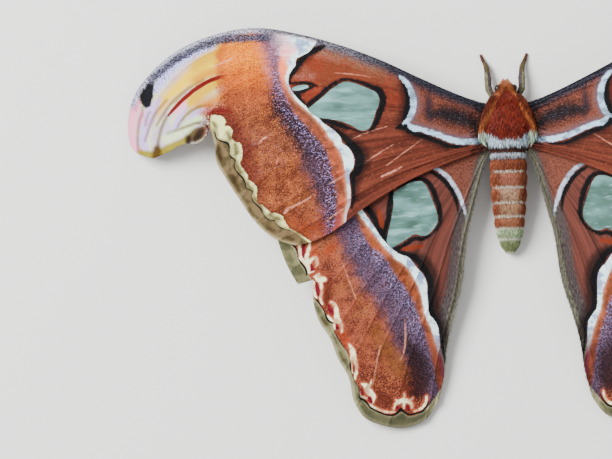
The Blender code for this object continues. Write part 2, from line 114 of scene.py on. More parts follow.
key = placed("key_light", bpy.data.lights.new("key_light", "AREA"))
key.data.size = KEY_SIZE
key.data.energy = KEY_POWER
key.location = KEY_PLACE
key.rotation_euler = (-Vector(KEY_PLACE)).to_track_quat("-Z", "Y").to_euler()
sky = bpy.data.worlds.new("sky")
sky.use_nodes = True
sky.node_tree.nodes["Background"].inputs["Color"].default_value = (1, 1, 1, 1)
sky.node_tree.nodes["Background"].inputs["Strength"].default_value = SKY
bpy.context.scene.world = sky

camera = placed("camera", bpy.data.cameras.new("camera"))
camera.data.lens = LENS
camera.data.sensor_width = SENSOR
(camera_out, camera_forward), = from_photo([PHOTO_MIDDLE])
camera_height = PIXEL * PHOTO_WIDTH * MM * LENS / SENSOR
camera.location = (-camera_out * MM, (camera_forward + FORWARD) * MM, camera_height)
camera.rotation_euler.z = -math.atan(BODY_LEAN)
bpy.context.scene.camera = camera

# The forewings: one thin scaled membrane each, held out by veins that run from the root to the
# margin, with two clear windows. The pattern is in the scales; where it was read is in pixels.
FORE_COSTA = [
    (4.0, 7.0), (7.3, 7.8), (13, 10), (24.5, 15.3), (36, 21), (47.5, 25.6), (59, 29.1), (72, 31.4),
    (85, 29.5), (94, 26), (102, 20), (107.5, 13), (109.5, 4), (108, -2.5), (102.5, -5),
]
FORE_NOTCH = (85.6, 3.3)
FORE_LOBE_EDGE = [
    (102.5, -5), (98, -3.4), (93, -1.2), (89.5, -1.2), (87.2, 0.2), FORE_NOTCH,
]
FORE_MARGIN = [
    FORE_NOTCH, (84.4, -1.6), (84.1, -6.3), (81.5, -11.5), (77.8, -17.6), (73.2, -24.5),
    (67.8, -29.4), (62, -31.4),
]
NOTCH_VEIN = [
    (4.3, 2.8), (22, 9.5), (42, 15), (60, 18.3), (72, 17.5), (80, 13.5), (84.5, 8.5), FORE_NOTCH,
]
FORE_REAR = [
    (4.8, -5.0), (16.5, -8.8), (28.9, -13.9), (43, -22), (52, -28.2), (57.5, -30.6), (62, -31.4),
]
NOTCH_SHARE = 0.34
COSTA_LAG = 1.35
# Height of the forewing's middle: how far out, and how high
SPAN_HEIGHT = [
    (0, 11.7), (7, 12.0), (20, 13.9), (40, 16.4), (58, 17.3), (75, 15.6), (88, 11.8), (99, 7.0),
    (109.5, 2.2),
]
REAR_SINK = 11.5
REAR_SINK_POWER = 1.3
SINK_START = -5.0
SINK_REACH = 80.0
FRONT_SINK = 0.003
FRONT_START = 8
# Veins: the share of the way across the wing, and the share of the way out where each starts
FORE_VEINS = [
    (0.0, 0.0), (0.09, 0.0), (0.2, 0.0), (0.34, 0.58), (0.46, 0.62), (0.57, 0.6), (0.68, 0.1),
    (0.8, 0.25), (0.92, 0.0),
]
FORE_COLUMNS = 200
FORE_ROWS = 228
# In mm: thicknesses, how high the veins stand, and how deep the pleats between two veins lie where
# these are PLEAT_ROOM apart. The pleats reach their depth at PLEAT_START of the way out.
SKIN_THICKNESS = 0.3
PANE_THICKNESS = 0.1
PANE_OVERLAP = 0.35
VEIN_HEIGHT = 0.3
VEIN_SHARE_BELOW = 0.3
VEIN_WIDTH = 0.32
VEIN_FADE = 0.12
PLEAT_DEPTH = 0.35
PLEAT_ROOM = 8.0
PLEAT_START = 0.5
ROOT_ROW = 0.02
ROW_CROWDING = 0.9
STROKE_REACH = 9.0
# The unwrap of a wing: the top and underside charts' size, their edge, and the strip for the rim
CHART_SIZE = (0.97, 0.47)
CHART_EDGE = 0.012
UNDERSIDE_CHART = (0, 0.5)
RIM_PATCH = (0.0006, 0.003)
# How the paint is found that shows as a wanted colour under the studio's light
PAINT_MIX = [[0.130, 0.009, -0.001], [-0.005, 0.158, -0.015], [-0.003, -0.019, 0.160]]
PAINT_TOP = 1.208
PAINT_CONTRAST = 1.688
SCALE_ROUGHNESS = 0.8
SCALE_GLOSS = 0.15
SCALE_DEPTH = 0.15
UNDERSIDE_FADE = 0.4

FORE_WINDOW = [
    (307.6, 110), (314, 105), (322, 98.5), (331, 90.5), (337, 86.5), (344, 83.2), (353, 84.5),
    (361, 87.3), (369, 90.5), (376, 94.6), (378.2, 99), (378.2, 105), (375, 113), (372.6, 121),
    (368.5, 129.2), (364, 131.8), (358.5, 131), (351, 126.8), (341.5, 122.9), (330, 120.5),
    (318, 118.5), (311, 114.5),
]
FORE_SMALL_WINDOW = [
    (290.5, 90.6), (295, 88), (301, 86.6), (307.5, 87), (309, 88.6), (305, 90.3), (300.5, 91.8),
    (295, 92.3),
]
# Edges that part one band of the pattern from the next, from the front edge to the rear
FORE_EDGES = {
    "white_near": [
        (317, 38), (316, 44), (313, 49), (309, 53.5), (302, 57.5), (296.5, 60.8), (295.6, 64),
        (295.6, 67), (292.5, 71), (290, 75), (288.6, 80), (288.6, 84.5), (290, 89), (293.2, 94.5),
        (297, 99.3), (301.5, 104), (307, 109), (312.5, 113.8), (318.5, 119.3), (323, 124.3),
        (326.5, 126.8), (331, 129.8), (336.3, 134), (340.3, 139), (341.8, 144.3), (345, 146.2),
        (349.6, 150.6), (352.8, 157), (353.4, 163.4), (351.7, 170), (348.6, 175.2), (349, 181),
        (350, 190), (350.3, 199), (349.3, 206), (347, 212), (345.5, 222), (344, 232),
    ],
    "white_far": [
        (288, 34), (287, 40), (289, 44.5), (293.5, 48.5), (295.3, 52), (293.5, 55.5), (290, 59),
        (287.8, 64), (288, 70), (286.2, 75.5), (284.8, 80), (286, 84.5), (288, 90), (291.3, 95.8),
        (295, 101), (299.7, 105.8), (305.2, 110.8), (311, 115.8), (316.5, 121.6), (321.5, 127.6),
        (325.5, 132.4), (328, 137.8), (332.4, 141.9), (335.8, 147.4), (339, 152.2), (342, 159.5),
        (343.9, 167.8), (344.6, 176), (345.7, 183), (346.4, 190), (346.8, 198), (346.5, 205),
        (344.3, 211), (343, 222), (342, 232),
    ],
    "violet_near": [
        (285, 34), (284, 42), (283, 50), (281, 58), (279.5, 66), (280, 75), (282, 85), (284, 92),
        (286.5, 99), (289.5, 106), (294, 113), (300, 120), (307, 128), (313, 135), (320, 143),
        (325, 150), (328, 157), (330, 164), (332, 173), (334.5, 183), (336, 193), (336.8, 203),
        (336, 213), (334, 224), (332, 234),
    ],
    "violet_far": [
        (252, 30), (256, 38), (260, 48), (264, 58), (267, 70), (270, 82), (272.5, 94), (274.5, 105),
        (278, 115), (284, 125), (290, 135), (295, 144), (298.5, 153), (300, 161), (303, 170),
        (307, 180), (312, 191), (317, 202), (321.5, 213), (325, 226), (328, 238),
    ],
    "lobe": [
        (228, 24), (226, 40), (223, 55), (221, 66), (223, 76), (222, 86), (223.5, 96), (222, 104),
        (216, 108.5), (210, 110), (206, 114), (206, 122), (205, 135),
    ],
    "scallops": [
        (204, 109), (209, 115), (216, 115.8), (222, 117), (226, 121), (226, 126.5), (231, 127.5),
        (233.5, 132), (232.5, 138), (235, 142), (241, 144.5), (243, 151), (242.8, 158),
        (240.5, 164), (243.5, 169), (248, 175), (248.5, 180), (253.5, 183), (257.5, 189),
        (257, 196), (258.5, 202), (263, 206), (268, 210), (272, 212.8), (278, 213.6),
        (283.5, 217.5), (285.5, 222.5), (290, 228), (297, 232), (306, 238),
    ],
    "wave": [
        (200, 118), (208, 127), (212, 131.5), (216, 133), (217.5, 139), (222, 142), (228.5, 144.2),
        (230, 148.5), (230, 155), (233, 158.7), (236, 160.3), (235, 166), (236, 170), (240, 175),
        (243.5, 178.5), (246, 184), (246.6, 187.5), (250, 190), (253, 191.6), (252, 197),
        (254, 202), (258, 206), (262, 210), (264, 214), (266.5, 218), (270, 220), (275, 220.6),
        (276.5, 224), (280, 227), (285, 229.2), (291, 230.5), (300, 236),
    ],
    "base": [
        (403, 74), (406, 84), (410, 91), (412.6, 100), (412.6, 109), (410, 117), (406.5, 123),
        (409.5, 127.5), (421.8, 130.6), (435.6, 135.2), (450, 140.5), (462, 142), (474, 141.5),
        (492, 139),
    ],
}
# The rear side of the front edge's grey band, from the tip to the root
FORE_COSTAL = [
    (262, 36), (275, 42.5), (290, 45), (302, 45.5), (315, 48), (335, 52.5), (353, 59), (368, 65),
    (384, 71), (393, 76), (401, 80), (415, 85.5), (430, 93), (445, 99), (460, 104.5), (475, 110),
    (490, 115),
]
# Strokes of the pattern: at each point of a line, its pixel and half its width in pixels
FORE_STROKES = {
    "black": [
        [(324, 48, 1.5), (317, 51, 3), (309, 56, 2.4), (303, 60.5, 2.6), (298.5, 66, 3),
         (294.5, 72, 2.6), (291, 78, 2), (289.5, 83, 1.4)],
        [(288, 84.5, 1), (294, 85.1, 1.5), (302, 84.4, 1.6), (310, 85.2, 1.8), (317, 88, 0.8)],
        [(294.5, 94.5, 2), (299.5, 93.6, 2.2), (305, 92, 1.8), (310, 89.6, 1.6), (314, 88.2, 1)],
        [(295.8, 94, 1.5), (298.6, 97.5, 2.8), (300.8, 101.5, 2), (304, 105, 1.2), (308, 108.5, 1)],
        [(306, 107.5, 1.5), (312.5, 102.5, 2.2), (319.5, 97, 2.2), (327, 90, 2), (334.5, 84.6, 1.8),
         (343.6, 80.9, 1.5), (353.5, 82.2, 1.6)],
        [(353.5, 82.2, 1.6), (362, 84.6, 1.8), (371, 88.3, 2.4), (379, 92.6, 3.2), (382, 99, 3.7),
         (381.6, 106, 3.5), (378.4, 114.5, 3.1)],
        [(378.4, 114.5, 3.1), (376, 122, 2.6), (372, 129, 2), (368, 133, 0.7)],
        [(313, 118, 0.8), (319, 120.6, 1.8), (327, 122.6, 2.4), (336, 125, 2.5), (344, 127.9, 2.2),
         (351, 130, 1.3), (358, 133, 0.7), (366, 133.4, 0.5)],
        [(330, 127.6, 0.8), (337, 132, 1.8), (343, 137.5, 2.6), (347, 142, 3.4),
         (353.5, 148.5, 4.2), (358.5, 156, 4.8), (359, 164, 4.6)],
        [(359, 164, 4.6), (356.5, 171, 4.2), (352.5, 177, 3), (352.8, 185, 2.2), (353, 193, 1.8),
         (353, 201, 1.5), (351, 208, 1.1)],
        [(400.5, 80.5, 1), (404, 87.5, 2.2), (406.7, 95, 2.9), (407.4, 103, 3.3), (406.3, 111, 3.2),
         (404, 118, 2.6), (402.5, 122.5, 1.8)],
        [(395, 129.5, 0.8), (400, 127.8, 2.6), (404.5, 128.3, 3.5), (408.5, 131.5, 2.4)],
        [(407, 132.4, 2), (414, 134.2, 2.4), (422, 137, 2.3), (430, 140, 2.2), (438, 143, 2),
         (447, 146.4, 2), (456, 147.6, 1.7), (466, 146.8, 0.8)],
    ],
    "soft_black": [
        [(332, 127, 0.5), (341, 134, 2.2), (350, 141, 4), (358, 149, 5.4), (363, 158, 6),
         (362, 167, 5.4), (357, 175, 4.6), (355, 186, 3.4), (355, 198, 2.2)],
        [(398, 128, 2), (408, 133, 3.4), (424, 139.4, 3), (446, 148, 2.4)],
        [(314, 52, 3), (304, 60, 4), (296, 70, 3.4)],
        [(400, 84, 2), (404.6, 96, 4), (404, 110, 4.6), (400, 121, 4)],
    ],
    "wave_ink": [
        [(196, 124.4, 0.4), (200, 124.2, 0.6), (204, 125, 0.7), (207.5, 127.4, 0.8),
         (209.5, 131, 0.5)],
        [(215.6, 132.5, 0.5), (217.5, 139, 0.6), (222, 142, 0.8), (228.5, 144.2, 1.1),
         (230, 148.5, 0.8), (230, 155, 0.6)],
        [(230, 155, 0.6), (233, 158.7, 0.8), (236, 160.3, 0.7), (235, 166, 0.5), (236, 170, 0.6),
         (240, 175, 0.8), (243.5, 178.5, 1)],
        [(243.5, 178.5, 1), (246, 184, 0.7), (246.6, 187.5, 0.5), (250, 190, 0.5),
         (253, 191.6, 0.6), (252, 197, 0.45), (254, 202, 0.6)],
        [(254, 202, 0.6), (258, 206, 0.7), (262, 210, 0.8), (264, 214, 0.5), (266.5, 218, 0.6),
         (270, 220, 0.6), (275, 220.6, 0.5)],
        [(275, 220.6, 0.5), (276.5, 224, 0.45), (280, 227, 0.5), (285, 229.2, 0.5),
         (291, 230.5, 0.3)],
    ],
    "base_white": [
        [(399.5, 78.5, 1.6), (403.5, 82, 2.2), (408.6, 89, 2.5), (411.8, 98, 3), (412.4, 107, 3),
         (410.6, 115, 2.8), (406.5, 121.8, 2.2), (402, 124.6, 1)],
        [(407, 122.5, 1), (409.5, 127.4, 2.4), (421.8, 130.8, 2.4), (435.6, 135.4, 2.6),
         (449, 140.3, 2.8), (461, 142.4, 2.8), (472, 142, 2.6), (482, 140.5, 2.4)],
    ],
    "column": [[(427, 96, 1), (427.5, 104, 3), (427, 112, 3.4), (430, 120, 1.6)]],
    "smudge": [[(432, 115, 3.6), (442, 115, 7), (454, 117.4, 8), (465, 121, 7), (475, 126, 5)]],
    "bloom": [
        [(296, 78, 2), (304, 78.6, 3), (312, 78, 2.4)],
        [(304, 69, 1), (306, 74, 1)],
        [(318, 56, 1), (326, 58, 1.4), (336, 62, 1)],
    ],
    "pinch": [[(290, 96, 1), (298, 107, 2.4), (308, 118, 3), (317, 128, 2.6)]],
    "haze": [
        [(273, 96, 2), (277, 106, 6), (284, 116, 9), (290, 126, 9), (296, 138, 7), (303, 150, 4)],
    ],
    "cream_wash": [
        [(222, 62, 5), (208, 68, 5.6), (195, 75, 6), (184, 84, 5.6), (174, 93, 4.6),
         (165, 102, 3.4), (158, 112, 2)],
        [(194, 100, 3), (188, 107, 2.6)],
    ],
    "yellow": [
        [(226, 46, 2), (219, 52, 3.6), (211, 57, 4.4), (203, 62, 4), (196, 68, 2.6)],
        [(226, 81, 2), (217, 84.6, 3.4), (208, 90, 4.4), (200, 96, 4.4), (193, 102, 3)],
        [(214, 73, 1.6), (204, 76, 2.4), (195, 81.6, 2.2)],
    ],
    "amber": [
        [(226, 71.6, 1.4), (216, 73.6, 2.4), (206, 76.6, 2.2), (197, 81.6, 1.6)],
        [(226, 97, 2.4), (217, 101, 2.8), (208, 104, 2.4), (199, 107, 1.4)],
        [(226, 50, 2), (219, 55.6, 2)],
    ],
    "lilac": [
        [(150, 107, 2), (147, 116, 2.6), (145, 128, 2.6), (144, 142, 2.6), (147, 149, 2)],
        [(160, 100, 1.2), (155, 110, 2), (150.6, 122, 1.6), (148, 134, 1.2)],
        [(186, 108, 1.6), (181, 117, 2.4), (176, 127, 2.4), (172, 136, 1.4)],
        [(209, 112, 1.6), (201, 113, 2.2), (194, 117.6, 1.6)],
    ],
    "green_white": [
        [(194, 129.6, 2), (184, 132.4, 3), (174, 135.6, 3.2), (166, 139, 2.4)],
        [(206, 117, 1.6), (196, 121, 2.2), (186, 126, 1.4)],
    ],
    "pink": [
        [(137, 103, 2.6), (134, 113, 3.2), (132.4, 124, 3.4), (132, 136, 3), (134, 147, 2.4),
         (139, 154, 1.8)],
        [(184, 104, 1.2), (177, 112, 1.4)],
        [(143, 112, 1), (141.4, 122, 1)],
    ],
    "deep_pink": [
        [(138.6, 101, 1.6), (136.4, 106.6, 2.2), (136, 111, 1.2)],
        [(141, 150, 1), (143, 156, 1.4)],
    ],
    "frost": [
        [(214, 48.6, 0.6), (204, 51.4, 1.6), (194, 55.4, 2.4), (184, 61, 3.2), (174, 68, 3.8),
         (166, 76, 4.2), (160, 84, 3.8), (156, 91, 2)],
    ],
    "olive": [
        [(169, 115.6, 1), (165.4, 121, 1.2), (162.4, 128, 1.2), (160.2, 136, 1.2),
         (158.6, 144, 1.4), (157.6, 152, 1.6)],
        [(212, 107, 0.6), (202, 107.4, 0.9), (194, 110.6, 1), (187, 116, 1), (181, 123, 0.8),
         (177, 131, 0.5)],
        [(207, 122, 0.6), (198, 123.6, 1.2), (188, 127, 1), (178, 130.6, 0.9), (168, 134, 0.6)],
        [(190, 88, 0.4), (180, 96, 0.7), (171, 105, 0.9), (164, 115, 0.8), (157, 126, 0.5)],
        [(205, 80.4, 0.4), (194, 86.6, 0.6), (184, 94, 0.7), (175, 103, 0.6)],
    ],
    # Painted shade along the folds of the hooked tip
    "crease": [
        [(143, 107, 0.6), (142.6, 113, 1.1), (140, 121, 1.1), (138.4, 131, 1), (138, 142, 0.9),
         (138.8, 152, 0.7)],
        [(168, 100, 0.5), (162.6, 106, 1), (157, 112.6, 1), (152.4, 121, 1), (149, 130, 0.9),
         (145.6, 141, 0.7)],
        [(150.6, 112, 0.4), (147.4, 118, 0.7), (146, 126, 0.5)],
    ],
    "ochre": [
        [(141, 153, 1.6), (149, 155.4, 2.4), (156, 155.6, 2.4), (163, 152, 2.6), (172, 147.8, 2.4),
         (180, 144, 2), (188, 140, 1.4)],
    ],
    "brown": [
        [(191, 139, 2), (195, 137, 3.4), (200, 133.6, 3.6), (203, 130.6, 1.6)],
        [(157.6, 150, 1.2), (157.4, 156, 1.8)],
    ],
    "dark_brown": [
        [(196, 139.6, 0.6), (199.6, 136, 1.8), (202.6, 131.6, 1.2)],
        [(190, 138.6, 0.4), (189, 143, 0.7)],
    ],
    "red": [
        [(229, 76.8, 0.5), (224, 77.6, 1.2), (215, 80.4, 1.7), (208, 83.2, 1.8), (201, 87.2, 1.9),
         (195, 91.2, 1.9), (188, 96.8, 1.8), (182, 102, 1.8), (176, 108.2, 1.6),
         (171.4, 113.2, 1.2), (168.6, 116.6, 0.4)],
    ],
    "crimson": [
        [(209.6, 114.6, 0.8), (213, 113, 1.6), (218, 111.6, 2), (225, 111.6, 1.6), (232, 113, 1)],
    ],
    "scallop_shade": [
        [(214, 124, 0.6), (217, 128, 1.4)],
        [(228, 134, 1), (231, 139.6, 1.8)],
        [(236, 146, 1.4), (236.6, 154, 2.4)],
        [(237.6, 166, 1.6), (241, 173, 2)],
        [(248, 184, 1.4), (251, 189, 1.4)],
        [(255.6, 199, 1.4), (261, 207, 1.2)],
        [(270, 215.6, 1.2), (279, 219.6, 1.4)],
    ],
    "margin_spots": [
        [(218, 147, 1.5), (219, 153, 3.2), (222, 159, 2.4)],
        [(234, 178, 1.5), (237, 185, 3), (239.5, 191, 2)],
        [(250, 211, 1.6), (253, 215, 1.8)],
        [(268, 227, 1.6), (274, 231, 1.8)],
        [(288, 237, 1.6), (292, 239, 1.6)],
    ],
    "costal_line": [
        [(296, 41, 0.6), (288, 40.6, 1.4), (276, 40.0, 2.4), (262, 39.8, 3.2), (246, 39.8, 3.8),
         (232, 40.4, 4), (220, 42, 3.8), (210, 44.8, 3.6)],
        [(210, 44.8, 3.6), (200, 48.6, 3.4), (190, 53.4, 3.2), (180, 59, 3.2), (170, 65.6, 3.2),
         (160, 73.6, 3.2), (153, 80.6, 3.2), (149.4, 88, 3)],
    ],
    "spot": [[(150.6, 88, 3.6), (148, 94, 6.2), (146.6, 99.6, 6.6), (147, 103.6, 4.6)]],
    "pale": [
        [(315, 194.6, 0.4), (308, 198.8, 0.8), (300, 203.4, 1), (293, 207, 1), (288, 209.5, 1.3),
         (285, 213, 1.4)],
        [(344, 176, 0.6), (337, 180, 0.8), (330, 184, 0.4)],
        [(346, 207, 0.6), (341, 210.3, 0.7), (335, 214.5, 0.6), (325, 222, 0.4)],
        [(269, 136, 0.5), (265.5, 139, 1.1), (261, 142.5, 0.9)],
        [(386, 127.6, 0.4), (366, 133.6, 0.5), (353, 139.6, 0.5), (343.8, 144.4, 0.4)],
        [(393, 145, 0.3), (376, 155.5, 0.5), (362, 164.5, 0.8), (352, 171, 0.9)],
        [(423, 138.8, 0.3), (402, 154, 0.5), (386, 166, 0.4)],
        [(401, 167.5, 0.5), (391, 172.6, 1.2), (381, 177, 1)],
        [(278.6, 158, 0.4), (277, 164, 0.5)],
        [(233, 59.6, 0.7), (227, 62.4, 0.9), (219, 66, 0.6), (211, 69, 0.3)],
        [(334, 74.6, 0.2), (345, 75.4, 0.5), (356, 76.4, 0.4), (370, 79, 0.2)],
    ],
}


def smooth_curve(points):
    """Dense points along a smooth curve through the given ones."""
    points = np.array(points, float)
    steps = np.linalg.norm(np.diff(points[:, :2], axis=0), axis=1)[:, None]
    slopes = np.diff(points, axis=0) / steps
    tangents = np.empty_like(points)
    tangents[1:-1] = (slopes[:-1] * steps[1:] + slopes[1:] * steps[:-1]) / (steps[:-1] + steps[1:])
    inner = tangents[1:-1] if len(points) > 2 else slopes
    tangents[0] = 1.5 * slopes[0] - 0.5 * inner[0]
    tangents[-1] = 1.5 * slopes[-1] - 0.5 * inner[-1]
    share = np.linspace(0, 1, 12, endpoint=False)[:, None]
    pieces = []
    spans = zip(points[:-1], points[1:], tangents[:-1], tangents[1:], steps)
    for start, end, leave, arrive, step in spans:
        pieces.append(
            start * (2 * share**3 - 3 * share**2 + 1)
            + end * (3 * share**2 - 2 * share**3)
            + step * leave * (share**3 - 2 * share**2 + share)
            + step * arrive * (share**3 - share**2)
        )
    return np.vstack([*pieces, points[-1:]])


def distances(points):
    """How far along a line each of its points lies."""
    return np.concatenate([[0], np.cumsum(np.linalg.norm(np.diff(points, axis=0), axis=1))])


def along(points, lag=1.0):
    """A function from shares of the length to the places there. A lag over 1 sets them back."""
    dense = smooth_curve(points)
    length = distances(dense)

    def places(shares):
        reach = np.asarray(shares) ** lag * length[-1]
        return np.stack([np.interp(reach, length, column) for column in dense.T], axis=-1)

    return places


def fade(share):
    """A share from 0 to 1 that starts and ends slowly."""
    share = np.clip(share, 0, 1)
    return share * share * (3 - 2 * share)


span_line = smooth_curve(SPAN_HEIGHT)


def wing_height(out, forward):
    """Height of the forewing's middle over each place."""
    sink = np.clip((SINK_START - forward) / SINK_REACH, 0, 1.1)
    front = np.maximum(0, forward - FRONT_START)
    level = np.interp(out, span_line[:, 0], span_line[:, 1])
    return level - REAR_SINK * sink**REAR_SINK_POWER - FRONT_SINK * front**2


def wing_plan(fields, across, out):
    """Places seen from above, a row for each share of the way out and a column for each across."""
    plan = np.empty((len(out), len(across), 2))
    far = out[:, None, None]
    for start, end, front, rear, outer in fields:
        inside = (across >= start) & (across <= end)
        local = (across[inside] - start) / (end - start)
        rim = outer(local)[None]
        local = local[None, :, None]
        root = front(0) * (1 - local) + rear(0) * local
        sides = (1 - local) * front(out)[:, None] + local * rear(out)[:, None]
        front_mean = (1 - far) * front(0) + far * front(1)
        rear_mean = (1 - far) * rear(0) + far * rear(1)
        means = (1 - local) * front_mean + local * rear_mean
        plan[:, inside] = sides + (1 - far) * root + far * rim - means
    return plan


def nearest(places, line):
    """For each place: the gap to a line, its sign, and the line's other columns at that point.

    The sign is above 0 on the outer side of a line that runs from the front edge to the rear.
    """
    start, step = line[:-1], np.diff(line, axis=0)
    gaps, signs, extras = [], [], []
    for some in np.array_split(places, 1 + len(places) // 6000):
        reach = some[:, None] - start[None, :, :2]
        share = (reach * step[:, :2]).sum(2) / np.maximum((step[:, :2] ** 2).sum(1), 1e-12)
        share = np.clip(share, 0, 1)
        off = reach - share[..., None] * step[:, :2]
        distance = (off**2).sum(2)
        best = distance.argmin(1)
        rows = np.arange(len(some))
        leg, arm = step[best], reach[rows, best]
        gaps.append(np.sqrt(distance[rows, best]))
        signs.append(np.sign(leg[:, 0] * arm[:, 1] - leg[:, 1] * arm[:, 0]))
        extras.append(start[best, 2:] + share[rows, best, None] * leg[:, 2:])
    return np.concatenate(gaps), np.concatenate(signs), np.vstack(extras)


def past_edge(places, pixels):
    """How far each place is past an edge of the pattern, outward. Below 0 is short of it."""
    gap, sign, _ = nearest(places, smooth_curve(from_photo(pixels))[::3])
    return gap * sign


def off_strokes(places, strokes):
    """How far each place is outside the nearest of the strokes. Below 0 is within one."""
    found = np.full(len(places), STROKE_REACH)
    for stroke in strokes:
        line = smooth_curve(from_photo(stroke))[::2]
        low, high = line[:, :2].min(0) - STROKE_REACH, line[:, :2].max(0) + STROKE_REACH
        near = ((places > low) & (places < high)).all(1)
        gap, _, half_width = nearest(places[near], line)
        found[near] = np.minimum(found[near], gap - half_width[:, 0])
    return found


def off_window(places, pixels):
    """How far each place is outside a closed outline. Below 0 is inside."""
    loop = smooth_curve(from_photo([*pixels, pixels[0]]))
    gap, _, _ = nearest(places, loop)
    start, end = loop[:-1], loop[1:]
    inside = np.zeros(len(places), bool)
    for (x, y), (far_x, far_y) in zip(start, end):
        if y != far_y:
            crossing = (places[:, 1] < y) != (places[:, 1] < far_y)
            meets = x + (places[:, 1] - y) * (far_x - x) / (far_y - y)
            inside ^= crossing & (places[:, 0] < meets)
    return np.where(inside, -gap, gap)


def cut_window(plan, outlines):
    """The cells outside the windows, the plan drawn up to the windows' edges, and the gaps."""
    places = plan.reshape(-1, 2)
    loops = [smooth_curve(from_photo([*pixels, pixels[0]])) for pixels in outlines]
    gap = np.minimum.reduce([off_window(places, pixels) for pixels in outlines])
    shaped = gap.reshape(plan.shape[:2])
    middle = (shaped[:-1, :-1] + shaped[:-1, 1:] + shaped[1:, 1:] + shaped[1:, :-1]) / 4
    outside = middle > 0
    touched = np.zeros((2, *shaped.shape), bool)
    for rows in (slice(None, -1), slice(1, None)):
        for columns in (slice(None, -1), slice(1, None)):
            touched[0, rows, columns] |= outside
            touched[1, rows, columns] |= ~outside
    edge = np.flatnonzero((touched[0] & touched[1]).reshape(-1))
    drawn = places.copy()
    for index in edge:
        ends = []
        for loop in loops:
            step = np.diff(loop, axis=0)
            share = ((places[index] - loop[:-1]) * step).sum(1)
            share = share / np.maximum((step**2).sum(1), 1e-12)
            meets = loop[:-1] + np.clip(share, 0, 1)[:, None] * step
            best = ((meets - places[index]) ** 2).sum(1).argmin()
            ends.append(meets[best])
        drawn[index] = min(ends, key=lambda end: ((end - places[index]) ** 2).sum())
    return outside.reshape(-1), drawn.reshape(plan.shape), shaped


def wing_rows(count):
    """Shares of the way out from a wing's root, a little closer together near the tip."""
    return ROOT_ROW + (1 - ROOT_ROW) * np.linspace(0, 1, count) ** ROW_CROWDING


def wing_marks(plan, places, across, out, edges, strokes):
    """What a wing's pattern reads at each place: where it is, and its gaps to the traced lines."""
    marks = {
        "across": np.broadcast_to(across[None], plan.shape[:2]),
        "out": np.broadcast_to(out[:, None], plan.shape[:2]),
        "forward": plan[..., 1],
    }
    marks |= {name: past_edge(places, pixels) for name, pixels in edges.items()}
    return marks | {name: off_strokes(places, lines) for name, lines in strokes.items()}


def vein_relief(across, out, plan, veins):
    """How high the veins stand at each place, and how deep the pleat between two veins lies."""
    width = np.linalg.norm(np.gradient(plan, across, axis=1), axis=2)
    ridge = np.zeros(width.shape)
    for share, start in veins:
        beside = np.abs(across - share)[None] * width
        risen = fade((out - start) / VEIN_FADE + (start == 0))[:, None]
        ridge = np.maximum(ridge, risen * np.exp(-((beside / VEIN_WIDTH) ** 2)))
    edges = np.array([share for share, _ in veins] + [1.0])
    left = np.clip(np.searchsorted(edges, across, side="right") - 1, 0, len(edges) - 2)
    phase = (across - edges[left]) / (edges[left + 1] - edges[left])
    room = (edges[left + 1] - edges[left])[None] * width
    pleat = np.sin(math.pi * phase)[None] ** 2 * np.clip(room / PLEAT_ROOM, 0, 1)
    return ridge, pleat * fade(out / PLEAT_START)[:, None]


def sheet(name, plan, height, half, kept, marks, side, ridge):
    """A closed thin sheet over the kept cells of a wing's grid, with the marks as attributes."""
    rows, columns = plan.shape[:2]
    index = np.arange(rows * columns).reshape(rows, columns)
    cells = np.stack([index[:-1, :-1], index[:-1, 1:], index[1:, 1:], index[1:, :-1]], axis=-1)
    cells = cells.reshape(-1, 4)[kept]
    used, flat = np.unique(cells, return_inverse=True)
    cells = flat.reshape(-1, 4)
    count = len(used)
    ways = np.concatenate([cells[:, [0, 1]], cells[:, [1, 2]], cells[:, [2, 3]], cells[:, [3, 0]]])
    keys = ways[:, 0] * count + ways[:, 1]
    rim = ways[~np.isin(keys, ways[:, 1] * count + ways[:, 0])]
    walls = np.column_stack([rim[:, 1], rim[:, 0], rim[:, 0] + count, rim[:, 1] + count])
    faces = np.vstack([cells, cells[:, ::-1] + count, walls])

    flat_plan = plan.reshape(-1, 2)[used]
    middle, raised = height.reshape(-1)[used], VEIN_HEIGHT * ridge.reshape(-1)[used]
    points = np.empty((2 * count, 3))
    points[:, 0] = side * np.tile(flat_plan[:, 0], 2)
    points[:, 1] = np.tile(flat_plan[:, 1], 2) + FORWARD
    points[:count, 2] = middle + half + raised
    points[count:, 2] = middle - half - VEIN_SHARE_BELOW * raised

    low, wide = flat_plan.min(0), np.ptp(flat_plan, axis=0)
    top = (flat_plan - low) * min(CHART_SIZE / wide) + CHART_EDGE
    far, near = top[rim[:, 1]], top[rim[:, 0]]
    outward = (far - near)[:, ::-1] * (1, -1)
    outward /= np.maximum(np.linalg.norm(outward, axis=1, keepdims=True), 1e-9)
    inner, outer = (outward * reach for reach in RIM_PATCH)
    strips = np.stack([far + inner, near + inner, near + outer, far + outer], axis=1)
    patches = np.concatenate([top[cells], top[cells[:, ::-1]] + UNDERSIDE_CHART, strips])
    if side < 0:
        faces, patches = faces[:, ::-1], patches[:, ::-1]

    mesh = bpy.data.meshes.new(name)
    mesh.from_pydata(points * MM, [], faces.tolist())
    mesh.update()
    mesh.polygons.foreach_set("use_smooth", np.arange(len(faces)) < 2 * len(cells))
    unwrap = mesh.uv_layers.new(name="OFBake")
    unwrap.data.foreach_set("uv", patches.astype(np.float32).reshape(-1))
    wing = placed(name, mesh)
    for mark, values in marks.items():
        mark_points(wing, mark, np.tile(values.reshape(-1)[used], 2))
    mark_points(wing, "under", np.repeat([0.0, 1.0], count))
    return wing


def mark_points(obj, name, values, kind="FLOAT"):
    """Gives each point of a mesh a number, or a direction."""
    field = "vector" if kind == "FLOAT_VECTOR" else "value"
    mark = obj.data.attributes.get(name) or obj.data.attributes.new(name, kind, "POINT")
    mark.data.foreach_set(field, np.asarray(values, np.float32).reshape(-1))


